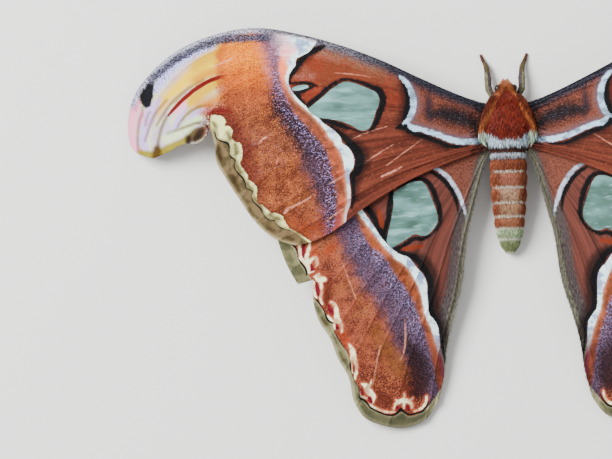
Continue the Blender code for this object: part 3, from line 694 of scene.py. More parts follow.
def wing_pieces(name, plan, height, kept, window, marks, side, ridge, scales):
    """A wing's membrane, and the pane that fills its windows and reaches under their rims."""
    half = SKIN_THICKNESS / 2
    membrane = sheet(name + "_membrane", plan, height, half, kept, marks, side, ridge)
    membrane.data.materials.append(scales)
    corners = [window[:-1, :-1], window[:-1, 1:], window[1:, 1:], window[1:, :-1]]
    bare = (np.minimum.reduce(corners) < PANE_OVERLAP).reshape(-1)
    pane = sheet(name + "_pane", plan, height, PANE_THICKNESS / 2, bare, {}, side, ridge * 0)
    pane.data.materials.append(pane_finish)
    return membrane, pane


def seen(red, green, blue):
    """The paint that shows as this colour, each part from 0 to 255, under the studio's light."""
    parts = np.array([red, green, blue]) / 255
    paint = np.array(PAINT_MIX) @ (parts / (PAINT_TOP - parts)) ** PAINT_CONTRAST
    return (*np.clip(paint, 0.001, 0.9).tolist(), 1.0)


class Wire:
    """An output in a node tree. Sums and products of wires and numbers add their Math nodes."""

    def __init__(self, board, socket):
        self.board = board
        self.socket = socket

    def __add__(self, other):
        return self.board.maths("ADD", self, other)

    __radd__ = __add__

    def __sub__(self, other):
        return self.board.maths("SUBTRACT", self, other)

    def __rsub__(self, other):
        return self.board.maths("SUBTRACT", other, self)

    def __mul__(self, other):
        return self.board.maths("MULTIPLY", self, other)

    __rmul__ = __mul__

    def __truediv__(self, other):
        return self.board.maths("DIVIDE", self, other)

    def __pow__(self, other):
        return self.board.maths("POWER", self, other)


class Board:
    """A node tree to which nodes are added by type, settings and inputs."""

    def __init__(self, tree):
        self.tree = tree

    def add(self, kind, settings=None, inputs=None, output=0):
        """Adds a node and returns the wire from its output, given by place or name."""
        node = self.tree.nodes.new(kind)
        for name, value in (settings or {}).items():
            setattr(node, name, value)
        for name, value in (inputs or {}).items():
            self.feed(self.find(node.inputs, name), value)
        return Wire(self, self.find(node.outputs, output))

    def find(self, sockets, name):
        """The socket at a place, or the one in use of a name."""
        if isinstance(name, int):
            return sockets[name]
        return next(socket for socket in sockets if socket.name == name and socket.enabled)

    def feed(self, socket, value):
        """Gives an input a wire or a constant."""
        if isinstance(value, Wire):
            self.tree.links.new(value.socket, socket)
        else:
            socket.default_value = value

    def maths(self, operation, *values):
        """The result of one operation on wires and numbers."""
        return self.add("ShaderNodeMath", {"operation": operation}, dict(enumerate(values)))

    def rise(self, value, low, high):
        """0 below low, 1 above high, and smooth between. A low above high falls instead."""
        settings = {"interpolation_type": "SMOOTHSTEP"}
        inputs = {"Value": value, "From Min": low, "From Max": high}
        return self.add("ShaderNodeMapRange", settings, inputs)

    def over(self, below, above, share):
        """A colour laid over another to a share. Either may be three parts from 0 to 255."""
        tints = [seen(*tint) if isinstance(tint, tuple) else tint for tint in (below, above)]
        inputs = {"Factor": share, "A": tints[0], "B": tints[1]}
        return self.add("ShaderNodeMix", {"data_type": "RGBA"}, inputs, "Result")

    def layers(self, base, *laid):
        """A base colour with others laid over it in turn, each to its share."""
        for tint, share in laid:
            base = self.over(base, tint, share)
        return base

    def mark(self, name, output="Fac"):
        """What a mesh holds under a name: a number, or with the output Vector a direction."""
        return self.add("ShaderNodeAttribute", {"attribute_name": name}, output=output)

    def noise(self, place, size, detail=2.0, stretch=(1, 1, 1)):
        """Soft noise from 0 to 1 in lumps of a size in mm, longer along an axis if stretched."""
        scale = [1 / (size * MM * part) for part in stretch]
        scaled = self.add("ShaderNodeVectorMath", {"operation": "MULTIPLY"}, {0: place, 1: scale})
        inputs = {"Vector": scaled, "Scale": 1.0, "Detail": detail}
        return self.add("ShaderNodeTexNoise", None, inputs)


def material(name):
    """A new material, its board, and its shader's inputs."""
    made = bpy.data.materials.new(name)
    made.use_nodes = True
    return made, Board(made.node_tree), made.node_tree.nodes["Principled BSDF"].inputs


def dress(board, inputs, colour, roughness, gloss, relief=None, depth=0.0, strength=0.7):
    """Sets a finish's colour, roughness and gloss, and a bump of a depth in mm for its relief."""
    board.feed(inputs["Base Color"], colour)
    inputs["Roughness"].default_value = roughness
    inputs["Specular IOR Level"].default_value = gloss
    if relief is not None:
        shape = {"Height": relief, "Distance": depth * MM, "Strength": strength}
        board.feed(inputs["Normal"], board.add("ShaderNodeBump", None, shape))


def scale_dust(board, streak_rows, hair_rows):
    """What a wing's pattern draws on: wobble, single scales, specks, ragged edges, patches, coarse
    patches, and streaks and hairs that run along the veins, in so many rows across the wing."""
    place = board.add("ShaderNodeTexCoord", output="Object")
    wobble = board.noise(place, 1.1, 3.0) - 0.5
    fine = board.noise(place, 0.26, 1.0)
    speck = board.noise(place, 0.46) * 0.6 + fine * 0.4
    edge = wobble * 1.2 + (fine - 0.5) * 1.6
    lengthwise = []
    for rows, lengths, detail in ((streak_rows, 4, 3.0), (hair_rows, 60, 2.0)):
        grid = {0: board.mark("across") * rows, 1: board.mark("out") * lengths}
        inputs = {"Vector": board.add("ShaderNodeCombineXYZ", None, grid), "Scale": 1.0}
        lengthwise.append(board.add("ShaderNodeTexNoise", None, {**inputs, "Detail": detail}))
    patchy, coarse = board.noise(place, 3.2, 3.0), board.noise(place, 10.0)
    return wobble, fine, speck, edge, patchy, coarse, *lengthwise


def clear_finish():
    """The bare membrane of a window: pale green horn thinner than paper, with shallow creases."""
    finish, board, inputs = material("bare_membrane")
    place = board.add("ShaderNodeTexCoord", output="Object")
    patches = board.noise(place, 8.0, 2.0, (1.6, 0.7, 1))
    creases = board.noise(place, 2.2, 2.0, (4.5, 1, 1))
    glints = board.noise(place, 0.5, 2.0, (9, 1, 1))
    # The darker green in these patches is painted shadow beneath the pane; the patches also set how
    # clear the pane is.
    colour = board.over((112, 152, 144), (144, 182, 180), board.rise(patches, 0.38, 0.6))
    # Painted shade in the creases, painted highlight beside them, and painted glints.
    colour = board.over(colour, (82, 122, 108), board.rise(creases, 0.55, 0.7) * 0.5)
    colour = board.over(colour, (188, 216, 216), board.rise(creases, 0.44, 0.32) * 0.4)
    colour = board.over(colour, (210, 230, 232), board.rise(glints, 0.6, 0.74) * 0.28)
    board.feed(inputs["Alpha"], board.rise(patches, 0.3, 0.7) * 0.12 + 0.8)
    dress(board, inputs, colour, 0.34, 0.5, creases + glints * 0.2, 0.4)
    return finish


def forewing_finish():
    """The forewing's pattern: fields first, then the bands, edges and ink that lie over them."""
    finish, board, inputs = material("forewing_scales")
    rise, over, layers, mark = board.rise, board.over, board.layers, board.mark
    wobble, fine, speck, edge, patchy, coarse, streak, hairs = scale_dust(board, 46, 260)
    across, out, forward = mark("across"), mark("out"), mark("forward")

    # The field between the root and the white band
    median = layers(
        (112, 56, 46),
        ((154, 88, 70), rise(streak, 0.3, 0.7)),
        ((168, 96, 68), rise(forward + wobble * 4, 10.0, 19.0) * 0.7),
        ((176, 84, 60), rise(coarse + wobble * 0.2, 0.5, 0.62) * rise(forward, 4.0, 12.0) * 0.5),
        ((196, 146, 122), rise(hairs, 0.57, 0.73) * 0.5),
        ((92, 38, 30), rise(patchy, 0.56, 0.75) * 0.4),
    )
    frosted = rise(mark("costal") + edge * 2.4, 4.4, 0.6) * rise(out, 0.28, 0.4)
    colour = layers(
        median,
        ((172, 142, 124), frosted * rise(hairs + speck, 0.86, 1.06) * 0.8),
        ((190, 150, 140), rise(mark("bloom") + edge * 2, 1.5, -1.5) * rise(speck, 0.4, 0.56) * 0.7),
    )

    # The rust-red field near the root, with its column and smudge of black scales
    basal = layers(
        (122, 70, 58),
        ((170, 112, 94), rise(speck, 0.4, 0.58)),
        (
            (70, 60, 72),
            rise(mark("column") + edge * 1.2, 1.5, -0.8) * rise(speck, 0.36, 0.5) * 0.92,
        ),
    )
    specked = over((28, 28, 32), (98, 100, 114), rise(speck, 0.54, 0.64))
    basal = layers(
        basal,
        (specked, rise(mark("smudge") + edge * 1.8, 2.6, -1.6) * 0.96),
        ((150, 128, 130), rise(mark("base_white") + edge * 2, 2.4, 0.2) * 0.5),
    )
    colour = over(colour, basal, rise(mark("base"), 0.1, -0.1))

    # The orange strip past the white band, the wide outer field and the violet band between them
    near, far = mark("white_near"), mark("white_far")
    strip = layers(
        (158, 98, 76),
        ((196, 124, 98), rise(patchy + speck * 0.4, 0.62, 0.8)),
        ((240, 172, 140), rise(forward + wobble * 3, 13.0, 18.0)),
        ((138, 88, 72), rise(mark("pinch") + wobble, 2.2, -1.6) * 0.85),
        ((180, 96, 98), rise(forward, -19.0, -25.0) * 0.7),
        ((232, 178, 148), rise(hairs, 0.56, 0.72) * 0.35),
    )
    colour = over(colour, strip, rise(near, -0.1, 0.1))

    violet_near, violet_far = mark("violet_near"), mark("violet_far")
    field = layers(
        (126, 64, 46),
        ((178, 116, 88), rise(speck + patchy * 0.5, 0.62, 0.88)),
        ((188, 114, 80), rise(forward + patchy * 6, 8.0, 15.0) * rise(speck, 0.36, 0.5) * 0.8),
    )
    bright = over((188, 96, 50), (214, 146, 48), rise(speck, 0.4, 0.56))
    field = over(field, bright, rise(forward + patchy * 6, 14.0, 21.0) * 0.9)
    brightest = over((206, 118, 60), (226, 178, 96), rise(speck + fine * 0.3, 0.52, 0.74))
    field = layers(
        field,
        (brightest, rise(forward + patchy * 8, 21.0, 27.0) * 0.9),
        ((226, 176, 112), rise(fine + patchy * 0.3, 0.74, 0.86) * 0.5),
        ((186, 148, 146), rise(hairs + coarse * 0.5, 0.82, 0.95) * rise(forward, 6.0, -4.0) * 0.45),
        ((176, 88, 50), rise(forward + wobble * 4, -20.0, -27.0) * rise(speck, 0.42, 0.54) * 0.8),
    )
    rear_red = rise(mark("scallops") + edge * 1.8, -5.5, -0.8) * rise(mark("lobe"), 2.0, -3.0)
    rear_red = rear_red * rise(forward, -18.0, -9.0)
    field = over(field, over((104, 40, 32), (148, 72, 56), rise(speck, 0.42, 0.58)), rear_red * 0.9)
    colour = over(colour, field, rise(violet_far + edge * 2.4, -1.6, 2.0))
    violet = layers(
        (56, 42, 52),
        ((118, 102, 120), rise(speck, 0.44, 0.6)),
        ((156, 126, 144), rise(forward + wobble * 3, 8.0, 20.0) * rise(speck, 0.3, 0.5) * 0.75),
        (
            (206, 198, 222),
            rise(hairs + speck, 1.06, 1.2) * rise(violet_near + wobble * 2, 6.0, 1.0) * 0.76,
        ),
    )
    in_violet = rise(violet_near + edge, -0.6, 0.7) * rise(violet_far + edge * 2.8, 2.4, -2.2)
    colour = over(colour, violet, in_violet * 0.94)
    haze = rise(mark("haze") + edge * 2.4, 3.4, -2.4) * rise(speck, 0.62, 0.46)
    haze = haze * rise(violet_near, 0.2, 1.4)
    colour = over(colour, (36, 28, 34), haze * 0.93)

    # The hooked tip: cream, yellow and pink, smooth as silk, with a few soft folds in painted shade
    lobe = mark("lobe")
    horn = over((214, 212, 200), (206, 200, 208), rise(patchy, 0.4, 0.62))
    wash = over((226, 206, 122), (220, 190, 150), rise(mark("cream_wash") + wobble * 2, -0.8, 1.0))
    horn = layers(
        horn,
        (wash, rise(mark("cream_wash") + wobble, 2.8, -1.2)),
        ((216, 190, 40), rise(mark("yellow") + wobble, 2.6, -0.9)),
        ((211, 168, 20), rise(mark("amber") + wobble, 1.8, -0.8) * 0.95),
        ((206, 196, 220), rise(mark("lilac") + wobble * 0.5, 0.9, -0.5) * 0.85),
        ((212, 220, 200), rise(mark("green_white") + wobble * 0.5, 1.0, -0.5) * 0.9),
        ((230, 190, 204), rise(mark("pink") + wobble, 1.2, -0.6) * 0.95),
        ((214, 150, 176), rise(mark("deep_pink") + wobble * 0.5, 0.8, -0.5) * 0.8),
    )
    frost = over(
        (112, 120, 160),
        (212, 218, 252),
        rise(fine + mark("costal_line") * 0.03, 0.44, 0.56),
    )
    horn = layers(
        horn,
        (frost, rise(mark("frost") + edge, 1.4, -0.6) * 0.96),
        ((142, 122, 70), rise(mark("olive") + wobble * 0.3, 0.6, -0.25) * 0.8),
        # Painted shade in the folds
        ((168, 124, 118), rise(mark("crease") + wobble * 0.3, 0.65, -0.25) * 0.75),
        ((172, 158, 62), rise(mark("ochre") + wobble * 0.6, 1.1, -0.1) * 0.96),
        ((112, 78, 30), rise(mark("brown") + wobble * 0.5, 1.8, 0.1) * 0.96),
        ((44, 26, 10), rise(mark("dark_brown") + wobble * 0.4, 1.2, -0.1) * 0.94),
        (
            over((206, 144, 44), (196, 104, 60), rise(speck, 0.4, 0.6)),
            rise(lobe + wobble * 2, 2.6, 0.4) * rise(forward, 5.6, 7.4) * 0.8,
        ),
        ((146, 6, 14), rise(mark("red") + wobble * 0.15, 0.3, -0.1)),
    )
    colour = layers(
        colour,
        (horn, rise(lobe + edge * 1.6 + (speck - 0.5) * 9, -1.0, 1.0)),
        ((140, 26, 34), rise(mark("crimson") + edge, 0.7, -0.3) * 0.85),
    )

    # The scalloped outer edge: cream, a thin black wave, then a beige border with brown spots
    past_notch = rise(across, NOTCH_SHARE - 0.004, NOTCH_SHARE + 0.004)
    scallops, wave = mark("scallops"), mark("wave")
    # The cream is darkened with painted shade in each scallop and along the black wave.
    cream = layers(
        (220, 218, 190),
        ((142, 130, 98), rise(mark("scallop_shade") + wobble * 1.6, 1.2, -0.5)),
        ((146, 132, 104), rise(wave + wobble, -1.3, -0.2) * 0.75),
    )
    colour = layers(
        colour,
        ((116, 44, 32), rise(scallops + wobble * 1.6, -0.9, -0.2) * past_notch * 0.45),
        (cream, rise(scallops + wobble * 0.9, -0.15, 0.2) * past_notch),
    )
    tan = layers(
        (152, 132, 106),
        ((112, 96, 70), rise(patchy, 0.42, 0.6)),
        ((186, 176, 152), rise(mark("margin_gap") + wobble * 0.5, 1.1, 0.2) * 0.8),
        ((84, 62, 34), rise(mark("margin_spots") + wobble, 0.9, -0.9) * 0.92),
    )
    colour = over(colour, tan, rise(wave, -0.1, 0.1) * past_notch)

    # The grey front edge, its dark line and pale rim
    grey = over((42, 44, 54), (96, 96, 108), rise(speck, 0.46, 0.6))
    pale_grey = over((88, 88, 96), (160, 158, 166), rise(speck, 0.42, 0.58))
    grey = over(grey, pale_grey, rise(out + wobble * 0.1, 0.3, 0.5))
    colour = over(
        colour,
        grey,
        rise(mark("costal") + edge * 1.6, 1.7, -0.8) * rise(out, 0.84, 0.74),
    )
    rim = rise(mark("costa_gap") + edge * 0.5, 2.1, 1.2) * rise(lobe, -14.0, -6.0)
    rim = rim * (1 - rise(lobe, 1.0, 3.0) * rise(forward, 11.5, 8.0))
    colour = over(
        colour,
        over((126, 126, 136), (204, 204, 212), rise(speck, 0.4, 0.56)),
        rim * 0.95,
    )
    line = rise(mark("costal_line") + edge * 1.1, 0.7, -0.4)
    dark_line = over((48, 48, 58), (140, 142, 160), rise(speck, 0.46, 0.6))
    colour = over(colour, dark_line, line * 0.96)

    # Pale hairs, black ink, white bands and the black spot of the tip
    colour = over(
        colour,
        (222, 184, 170),
        rise(mark("pale") + wobble * 0.3, 0.18, -0.16) * rise(hairs, 0.36, 0.52) * 0.75,
    )
    ink = over((14, 13, 18), (52, 46, 54), rise(speck, 0.54, 0.66))
    colour = layers(
        colour,
        ((66, 34, 30), rise(mark("soft_black") + edge, 1.4, -0.8) * 0.8),
        (ink, rise(mark("black") + edge * 0.6, 0.34, -0.26)),
        ((16, 18, 20), rise(mark("wave_ink") + wobble * 0.2, 0.14, -0.12)),
    )
    front = rise(forward, 18.0, 24.0)
    white = layers(
        (222, 236, 248),
        ((180, 196, 210), rise(patchy + wobble * 0.3, 0.46, 0.64)),
        ((196, 168, 172), rise(forward, -12.0, -20.0) * 0.7),
    )
    far = far * (1 - front * 0.8)
    white_core = rise(near + edge * 0.25, -0.12, 0.14) * rise(far + edge * 0.35, 0.1, -0.26)
    glow = rise(near, -0.1, 0.1) * rise(far + edge * 0.8, 1.1, -0.2) * (0.45 + front * 0.4)
    fade_front = rise(mark("costa_gap") + edge * 0.6, 0.5, 1.6)
    colour = layers(
        colour,
        (over((226, 190, 168), (232, 218, 222), front), glow * fade_front),
        (white, white_core * fade_front),
    )
    base_white = over((200, 216, 224), (158, 176, 186), rise(patchy + wobble * 0.3, 0.46, 0.66))
    colour = layers(
        colour,
        (
            (128, 118, 136),
            rise(mark("base_white") + edge, 1.1, -0.2) * rise(mark("base"), 0.2, -0.4) * 0.6,
        ),
        (base_white, rise(mark("base_white") + edge * 0.5, 0.2, -0.2)),
    )
    spot = over((10, 11, 18), (58, 62, 84), rise(fine, 0.58, 0.7))
    colour = over(colour, spot, rise(mark("spot") + edge * 0.6, 0.5, -0.3))

    colour = over(colour, (150, 108, 88), mark("under") * UNDERSIDE_FADE)
    relief = fine * 0.6 + hairs + streak
    dress(board, inputs, colour, SCALE_ROUGHNESS, SCALE_GLOSS, relief, SCALE_DEPTH)
    return finish


fore_fields = [
    (0.0, NOTCH_SHARE, along(FORE_COSTA, COSTA_LAG), along(NOTCH_VEIN), along(FORE_LOBE_EDGE)),
    (NOTCH_SHARE, 1.0, along(NOTCH_VEIN), along(FORE_REAR), along(FORE_MARGIN)),
]
across, out = np.linspace(0, 1, FORE_COLUMNS), wing_rows(FORE_ROWS)
plan = wing_plan(fore_fields, across, out)
places = plan.reshape(-1, 2)
ridge, pleat = vein_relief(across, out, plan, FORE_VEINS)
kept, plan, window = cut_window(plan, [FORE_WINDOW, FORE_SMALL_WINDOW])
fore_marks = wing_marks(plan, places, across, out, FORE_EDGES, FORE_STROKES)
fore_marks["costal"] = -past_edge(places, FORE_COSTAL[::-1])
fore_marks["costa_gap"] = nearest(places, smooth_curve(FORE_COSTA))[0]
margin_line = np.vstack([smooth_curve(FORE_LOBE_EDGE), smooth_curve(FORE_MARGIN)])
fore_marks["margin_gap"] = nearest(places, margin_line)[0]
height = wing_height(plan[..., 0], plan[..., 1]) - PLEAT_DEPTH * pleat
fore_scales, pane_finish = forewing_finish(), clear_finish()
for side, word in ((1, "right"), (-1, "left")):
    wing = "forewing_" + word
    grid = (plan, height, kept, window, fore_marks, side, ridge)
    for piece in wing_pieces(wing, *grid, fore_scales):
        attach(piece, "root")
        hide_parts(wing)

# The hindwings: membranes behind the forewings and a little lower, so that each one's front
# part lies hidden. Each has one clear window; the left one has lost a scrap of its outer edge.
HIND_COSTA = [(4.4, -1.6), (18, -2.2), (32, -7), (46, -15.5), (58, -23.5), (67.2, -29.6)]
HIND_CORNER = (61.6, -43)
HIND_SIDE_EDGE = [(67.2, -29.6), (64.8, -36.8), HIND_CORNER]
HIND_MARGIN = [
    HIND_CORNER, (58.4, -49), (55.8, -54), (53, -58.5), (50.9, -64.5), (48, -70), (46.6, -77.2),
    (43.6, -82), (38, -84.5), (32, -85.2), (26.5, -83.4), (22.3, -77.7),
]
HIND_MARGIN_WORN = [(57.2, -41.4), (57.3, -49), *HIND_MARGIN[2:]]
HIND_INNER = [
    (4.9, -5.6), (6.4, -7.9), (8.6, -14.8), (10.3, -21.4), (12.3, -29.2), (14.8, -45.4),
    (17.1, -53.1), (19.4, -62), (20.4, -70), (22.3, -77.7),
]
CORNER_SHARE = 0.165
SCRAP_REACH = 0.8
HIND_BELOW_FORE = 1.7
HIND_VEINS = [
    (0.0, 0.0), (0.11, 0.0), (0.25, 0.58), (0.38, 0.6), (0.51, 0.5), (0.64, 0.2), (0.78, 0.0),
    (0.92, 0.0),
]
HIND_COLUMNS = 200
HIND_ROWS = 210
HIND_WINDOW = [
    (393, 193), (397, 190), (401.8, 187.2), (406.5, 184.4), (411.3, 182.4), (416.5, 181.4),
    (421, 182), (425.7, 187.2), (429.5, 195.8), (433.3, 205.4), (436.2, 214), (436.7, 221.7),
    (431.4, 230.3), (425, 235.4), (420, 235.6), (414.2, 234), (409.4, 236.6), (404.6, 239.9),
    (397, 244.6), (391.2, 247.2), (386.4, 242.8), (387.4, 232.2), (389.6, 222), (391.2, 213),
    (392.7, 203), (392.2, 198.7),
]
HIND_EDGES = {
    "white_near": [
        (350, 190), (357, 202), (362.5, 211), (367, 217.5), (372, 224.5), (377, 232), (381.7, 239),
        (389.3, 246.6), (397, 253), (408, 257.6), (413.6, 264), (417, 269), (422, 273.4),
        (425.4, 281), (426.6, 294.4), (427.4, 306), (428.6, 313.4), (433, 319), (437, 325.6),
        (438.2, 333), (440, 350), (442, 360), (444.6, 374), (449, 392), (454, 408),
    ],
    "white_far": [
        (345, 193), (352, 205), (358.7, 215), (363.5, 221), (368.3, 227.4), (373, 233.6),
        (377.8, 239.9), (382.6, 246), (387.4, 251.3), (395, 258.6), (402, 263.2), (408.6, 270.2),
        (413, 277.4), (418, 287.7), (421.6, 299.2), (424, 313.5), (430.4, 328), (434, 340),
        (436.5, 350), (438.4, 362), (441, 376), (445.4, 393), (450, 410),
    ],
    "violet_near": [
        (338, 190), (347, 203), (356.8, 217.8), (361.6, 231.2), (371, 246.6), (383.6, 256),
        (392.2, 270.5), (401.8, 283), (409.4, 294.4), (416, 308.8), (421, 322), (427, 340),
        (431, 356), (435, 376), (440, 398), (444, 412),
    ],
    "violet_far": [
        (326, 205), (331, 216), (334, 228), (338, 242), (345, 257), (353, 273), (363, 289),
        (374, 303), (384, 318), (390, 333), (397, 347), (405, 358), (413, 370), (421, 384),
        (428, 400), (434, 416),
    ],
    "wave": [
        (278, 228), (285, 236.5), (292, 245), (296, 249), (298, 256), (299.6, 261), (303, 265),
        (306, 270), (308.6, 275), (311.4, 278.6), (312, 285), (311, 290.4), (312.6, 297.4),
        (317, 301), (320, 305.6), (324, 311), (327, 316.4), (330, 321.4), (332.8, 324), (334, 331),
        (338, 338), (342, 344), (346, 350), (349, 358), (350, 364), (351, 371), (354, 379),
        (357.4, 385), (359.4, 390), (361.6, 396.6), (366, 401.6), (370, 406.6), (375, 409.8),
        (381, 412.8), (388, 415.4), (394, 415.4), (399, 412.6), (403.6, 411), (407, 415.4),
        (412, 415.6), (418, 413.6), (423, 410.6), (428.6, 405.4), (434, 398), (441, 388),
        (449, 378),
    ],
    "base": [
        (430, 150), (434, 162), (438, 170), (446, 176.7), (453.4, 186.3), (458.2, 194.9),
        (461, 202.5), (463, 212), (464, 225), (465, 245),
    ],
}
HIND_STROKES = {
    "black": [
        [(396, 188.6, 0.9), (404, 183.4, 1.6), (411.4, 180, 1.7), (418.6, 179, 1.8),
         (425.4, 181.6, 2.3), (431, 189, 2.6), (435.6, 199.6, 2.6)],
        [(435.6, 199.6, 2.6), (438.6, 210.6, 2.4), (439.4, 220.6, 2), (435.4, 229.4, 1.4),
         (430, 234.6, 1)],
        [(391.6, 188, 1.4), (390.4, 195.6, 2.2), (389, 206, 2.8), (387.4, 217, 2.5),
         (385.2, 228, 2.1), (383.8, 238, 1.5)],
        [(362, 203.6, 1.6), (367.4, 209.6, 2.6), (372, 216, 2.8), (376.4, 223.6, 2.8),
         (380.8, 231.6, 2.7), (385, 239.6, 2.2), (390, 245.6, 1.6)],
        [(390, 247.8, 1.4), (397, 248.4, 2), (405.6, 243.8, 2.1), (413.6, 238.6, 2.1),
         (421.6, 238.8, 2), (428.6, 235.4, 1.4)],
        [(394, 250.4, 1), (402.4, 253.2, 2), (410.6, 255.6, 2.5), (416.6, 259.4, 3),
         (421.4, 266, 3.3), (426, 272.4, 3.1)],
        [(426, 272.4, 3.1), (429.4, 281, 3), (430, 292, 2.8), (430, 303, 2.7), (431.4, 313, 2.7),
         (436, 319.6, 2.3)],
        [(436, 319.6, 2.3), (440.2, 327, 1.8), (441, 336.6, 1.4), (442.4, 348.6, 1.2),
         (444.6, 360, 0.9)],
        [(430.6, 172.6, 1.4), (439.4, 177.8, 2.2), (446.6, 184.8, 2.4), (452, 193, 2.3),
         (455.2, 200.4, 2), (456.6, 208, 1.2), (457, 214, 0.5)],
    ],
    "soft_black": [
        [(400, 254, 2), (412, 256, 4), (422, 262, 6), (429, 272, 6), (432, 286, 5.4), (433, 300, 5),
         (435, 314, 5), (442, 326, 4), (446, 342, 3.4), (448, 358, 3)],
        [(368, 207, 2), (374, 217, 4), (380, 230, 3.4)],
    ],
    "base_white": [
        [(433.6, 168.6, 1.4), (440, 172, 1.9), (446.4, 177.4, 2.1), (453, 186, 2.1),
         (457.8, 194.6, 2.1), (460.8, 202.6, 1.9), (463.4, 210, 1.2), (465, 218, 0.6)],
    ],
    "spots": [
        [(304, 243, 1.2), (303.6, 250, 1.9), (303.4, 257, 1)],
        [(311.4, 265, 1.2), (312.2, 270, 2.1), (312.6, 276, 1.4)],
        [(316, 283, 1.3), (317.4, 289, 2.2), (318.4, 295.6, 1)],
        [(329, 305.6, 1.4), (330.6, 310, 2.6), (332, 314, 1.4)],
        [(336.4, 323.6, 1.2), (337, 327.4, 1.8)],
        [(353.4, 365, 0.8), (353.8, 371, 1.1)],
        [(361.6, 389, 1.4), (362.2, 392.6, 2)],
        [(369, 397.4, 1.6), (371, 401, 1.9)],
        [(397, 407, 1.7), (399.6, 409, 1.6)],
        [(407, 406.6, 1.8), (408.6, 409, 1.6)],
    ],
    "cream": [
        [(299.6, 244, 1.2), (300, 252, 1.5), (301.4, 259, 1.6), (306, 263, 2.4), (309, 270, 1.6),
         (311, 277.6, 1.4)],
        [(310, 243, 1.2), (308.4, 250, 1.5), (306.6, 258, 1.8), (309, 262, 2)],
        [(309.6, 262, 1.6), (315.6, 257.4, 1.6), (317.2, 264, 1.6), (317, 272, 1.9),
         (319, 278, 3.6), (324, 279, 2.2)],
        [(313.8, 282, 1.2), (314, 290, 1.3), (315.6, 297, 1.4)],
        [(320.6, 283, 1.6), (321.4, 291, 1), (320.6, 299.6, 1.2), (322.6, 304, 0.8)],
        [(330.6, 301.6, 1), (334.6, 304.6, 1.6), (336.4, 311, 1.8), (337, 318, 2.8),
         (341, 324, 1.8), (341.6, 331, 1)],
        [(328, 316, 1.2), (332, 320, 1.4), (336, 321, 2)],
        [(333.6, 322, 1.2), (334, 328, 1.1)],
        [(348.4, 342.6, 0.8), (351.6, 349, 2.2), (354, 358, 2.4), (356.2, 366, 1.4),
         (355.6, 373, 1.4), (354.4, 379, 0.8)],
        [(350.6, 354, 0.8), (351, 362, 1.2), (352, 372, 1)],
        [(361.4, 383, 0.8), (365.6, 385, 2.6), (368.6, 391, 3.4), (373.6, 395.6, 2),
         (372.6, 401, 1.2)],
        [(371, 379, 0.4), (370, 384, 1)],
        [(361, 396.6, 1.4), (366, 397.6, 1.4)],
        [(368, 403, 0.8), (376, 408, 0.9), (386, 411.6, 0.9), (394, 411.6, 0.8)],
        [(393.6, 408.6, 0.8), (396, 403, 1.2), (401, 400.6, 2.2), (407, 400.6, 2.2),
         (411.6, 404, 1.2), (411.6, 408, 0.7)],
        [(404, 393, 0.5), (403.6, 399, 1.6)],
        [(395, 399, 0.5), (399, 401.6, 1.2)],
        [(412.6, 397.6, 0.5), (408.6, 401, 1.2)],
        [(403.6, 404, 1), (403.6, 408, 0.8)],
        [(414, 411, 0.7), (421, 408, 1.1), (425.4, 402, 1.2), (426.4, 396, 0.8)],
    ],
    "wave_ink": [
        [(292.6, 244, 0.7), (296.8, 249.6, 0.9), (298.6, 259, 0.6), (301.6, 263, 1),
         (305.6, 268.6, 1.1), (307.6, 275.6, 0.8), (311, 279, 0.6)],
        [(313.4, 296, 0.5), (317, 300, 0.9), (320.6, 304.6, 0.7), (324, 309.6, 0.6),
         (325.8, 315.6, 1), (329.4, 321, 1.1), (333.6, 322.6, 0.8)],
        [(333.4, 328, 0.5), (337.6, 337.6, 0.6), (343, 346, 0.5), (347.6, 353, 0.4),
         (349.8, 360, 0.6), (350, 364, 1), (351, 371, 0.5)],
        [(351, 371, 0.5), (354.4, 380.6, 0.55), (359, 390.6, 0.6), (359.8, 397.6, 1),
         (363, 399, 1.3), (366, 401.6, 1), (370, 407, 1)],
        [(370, 407, 1), (378, 411.2, 1), (388, 414.6, 1), (395, 413.8, 1), (400.6, 408.6, 1.5)],
        [(400.6, 408.6, 1.5), (403.6, 411, 1.3), (408, 414, 1.1), (416, 413, 1), (422, 411, 1.1),
         (426.4, 406, 0.9), (429, 400, 0.5)],
    ],
    "rear_gap": [[(366, 380, 4), (378, 392, 8), (396, 396, 10), (414, 392, 10), (430, 382, 6)]],
    "glow": [
        [(311, 245, 1.6), (314, 254, 3)],
        [(343, 332, 1.6), (347, 343, 2)],
        [(336, 243, 2), (328, 250, 3)],
    ],
    "deep_red": [
        [(328, 276, 2), (326.6, 290, 4), (326, 304, 3)],
        [(372, 392, 3), (382, 400, 4), (392, 402, 3)],
        [(360, 366, 1.2), (364, 367, 1.2)],
        [(412, 390, 5), (424, 386, 5)],
    ],
    "ochre": [[(376, 330, 4), (386, 346, 7), (396, 362, 8), (402, 372, 4)]],
    "blot": [[(404, 338, 4), (411, 350, 8), (417, 364, 12), (420, 378, 12), (418, 392, 8)]],
    "pale": [
        [(404, 318, 0.4), (405, 333, 0.8), (404, 348, 0.8), (400, 360, 0.4)],
        [(380, 345, 0.4), (376, 364, 0.7), (372.6, 384, 0.4)],
        [(342, 262, 0.3), (349, 281, 0.6), (356, 299, 0.4)],
    ],
    "orange": [
        [(377, 208, 0.6), (379.6, 217, 2.8), (381.4, 227, 1.8)],
        [(402, 248.8, 1.6), (412, 247.6, 2.6), (421, 246, 1.8)],
    ],
    "brown": [
        [(322, 318, 1), (326, 323, 2.4)],
        [(306, 285, 0.8), (307, 291, 1.6)],
        [(340, 352, 0.8), (343, 360, 1.4)],
    ],
}


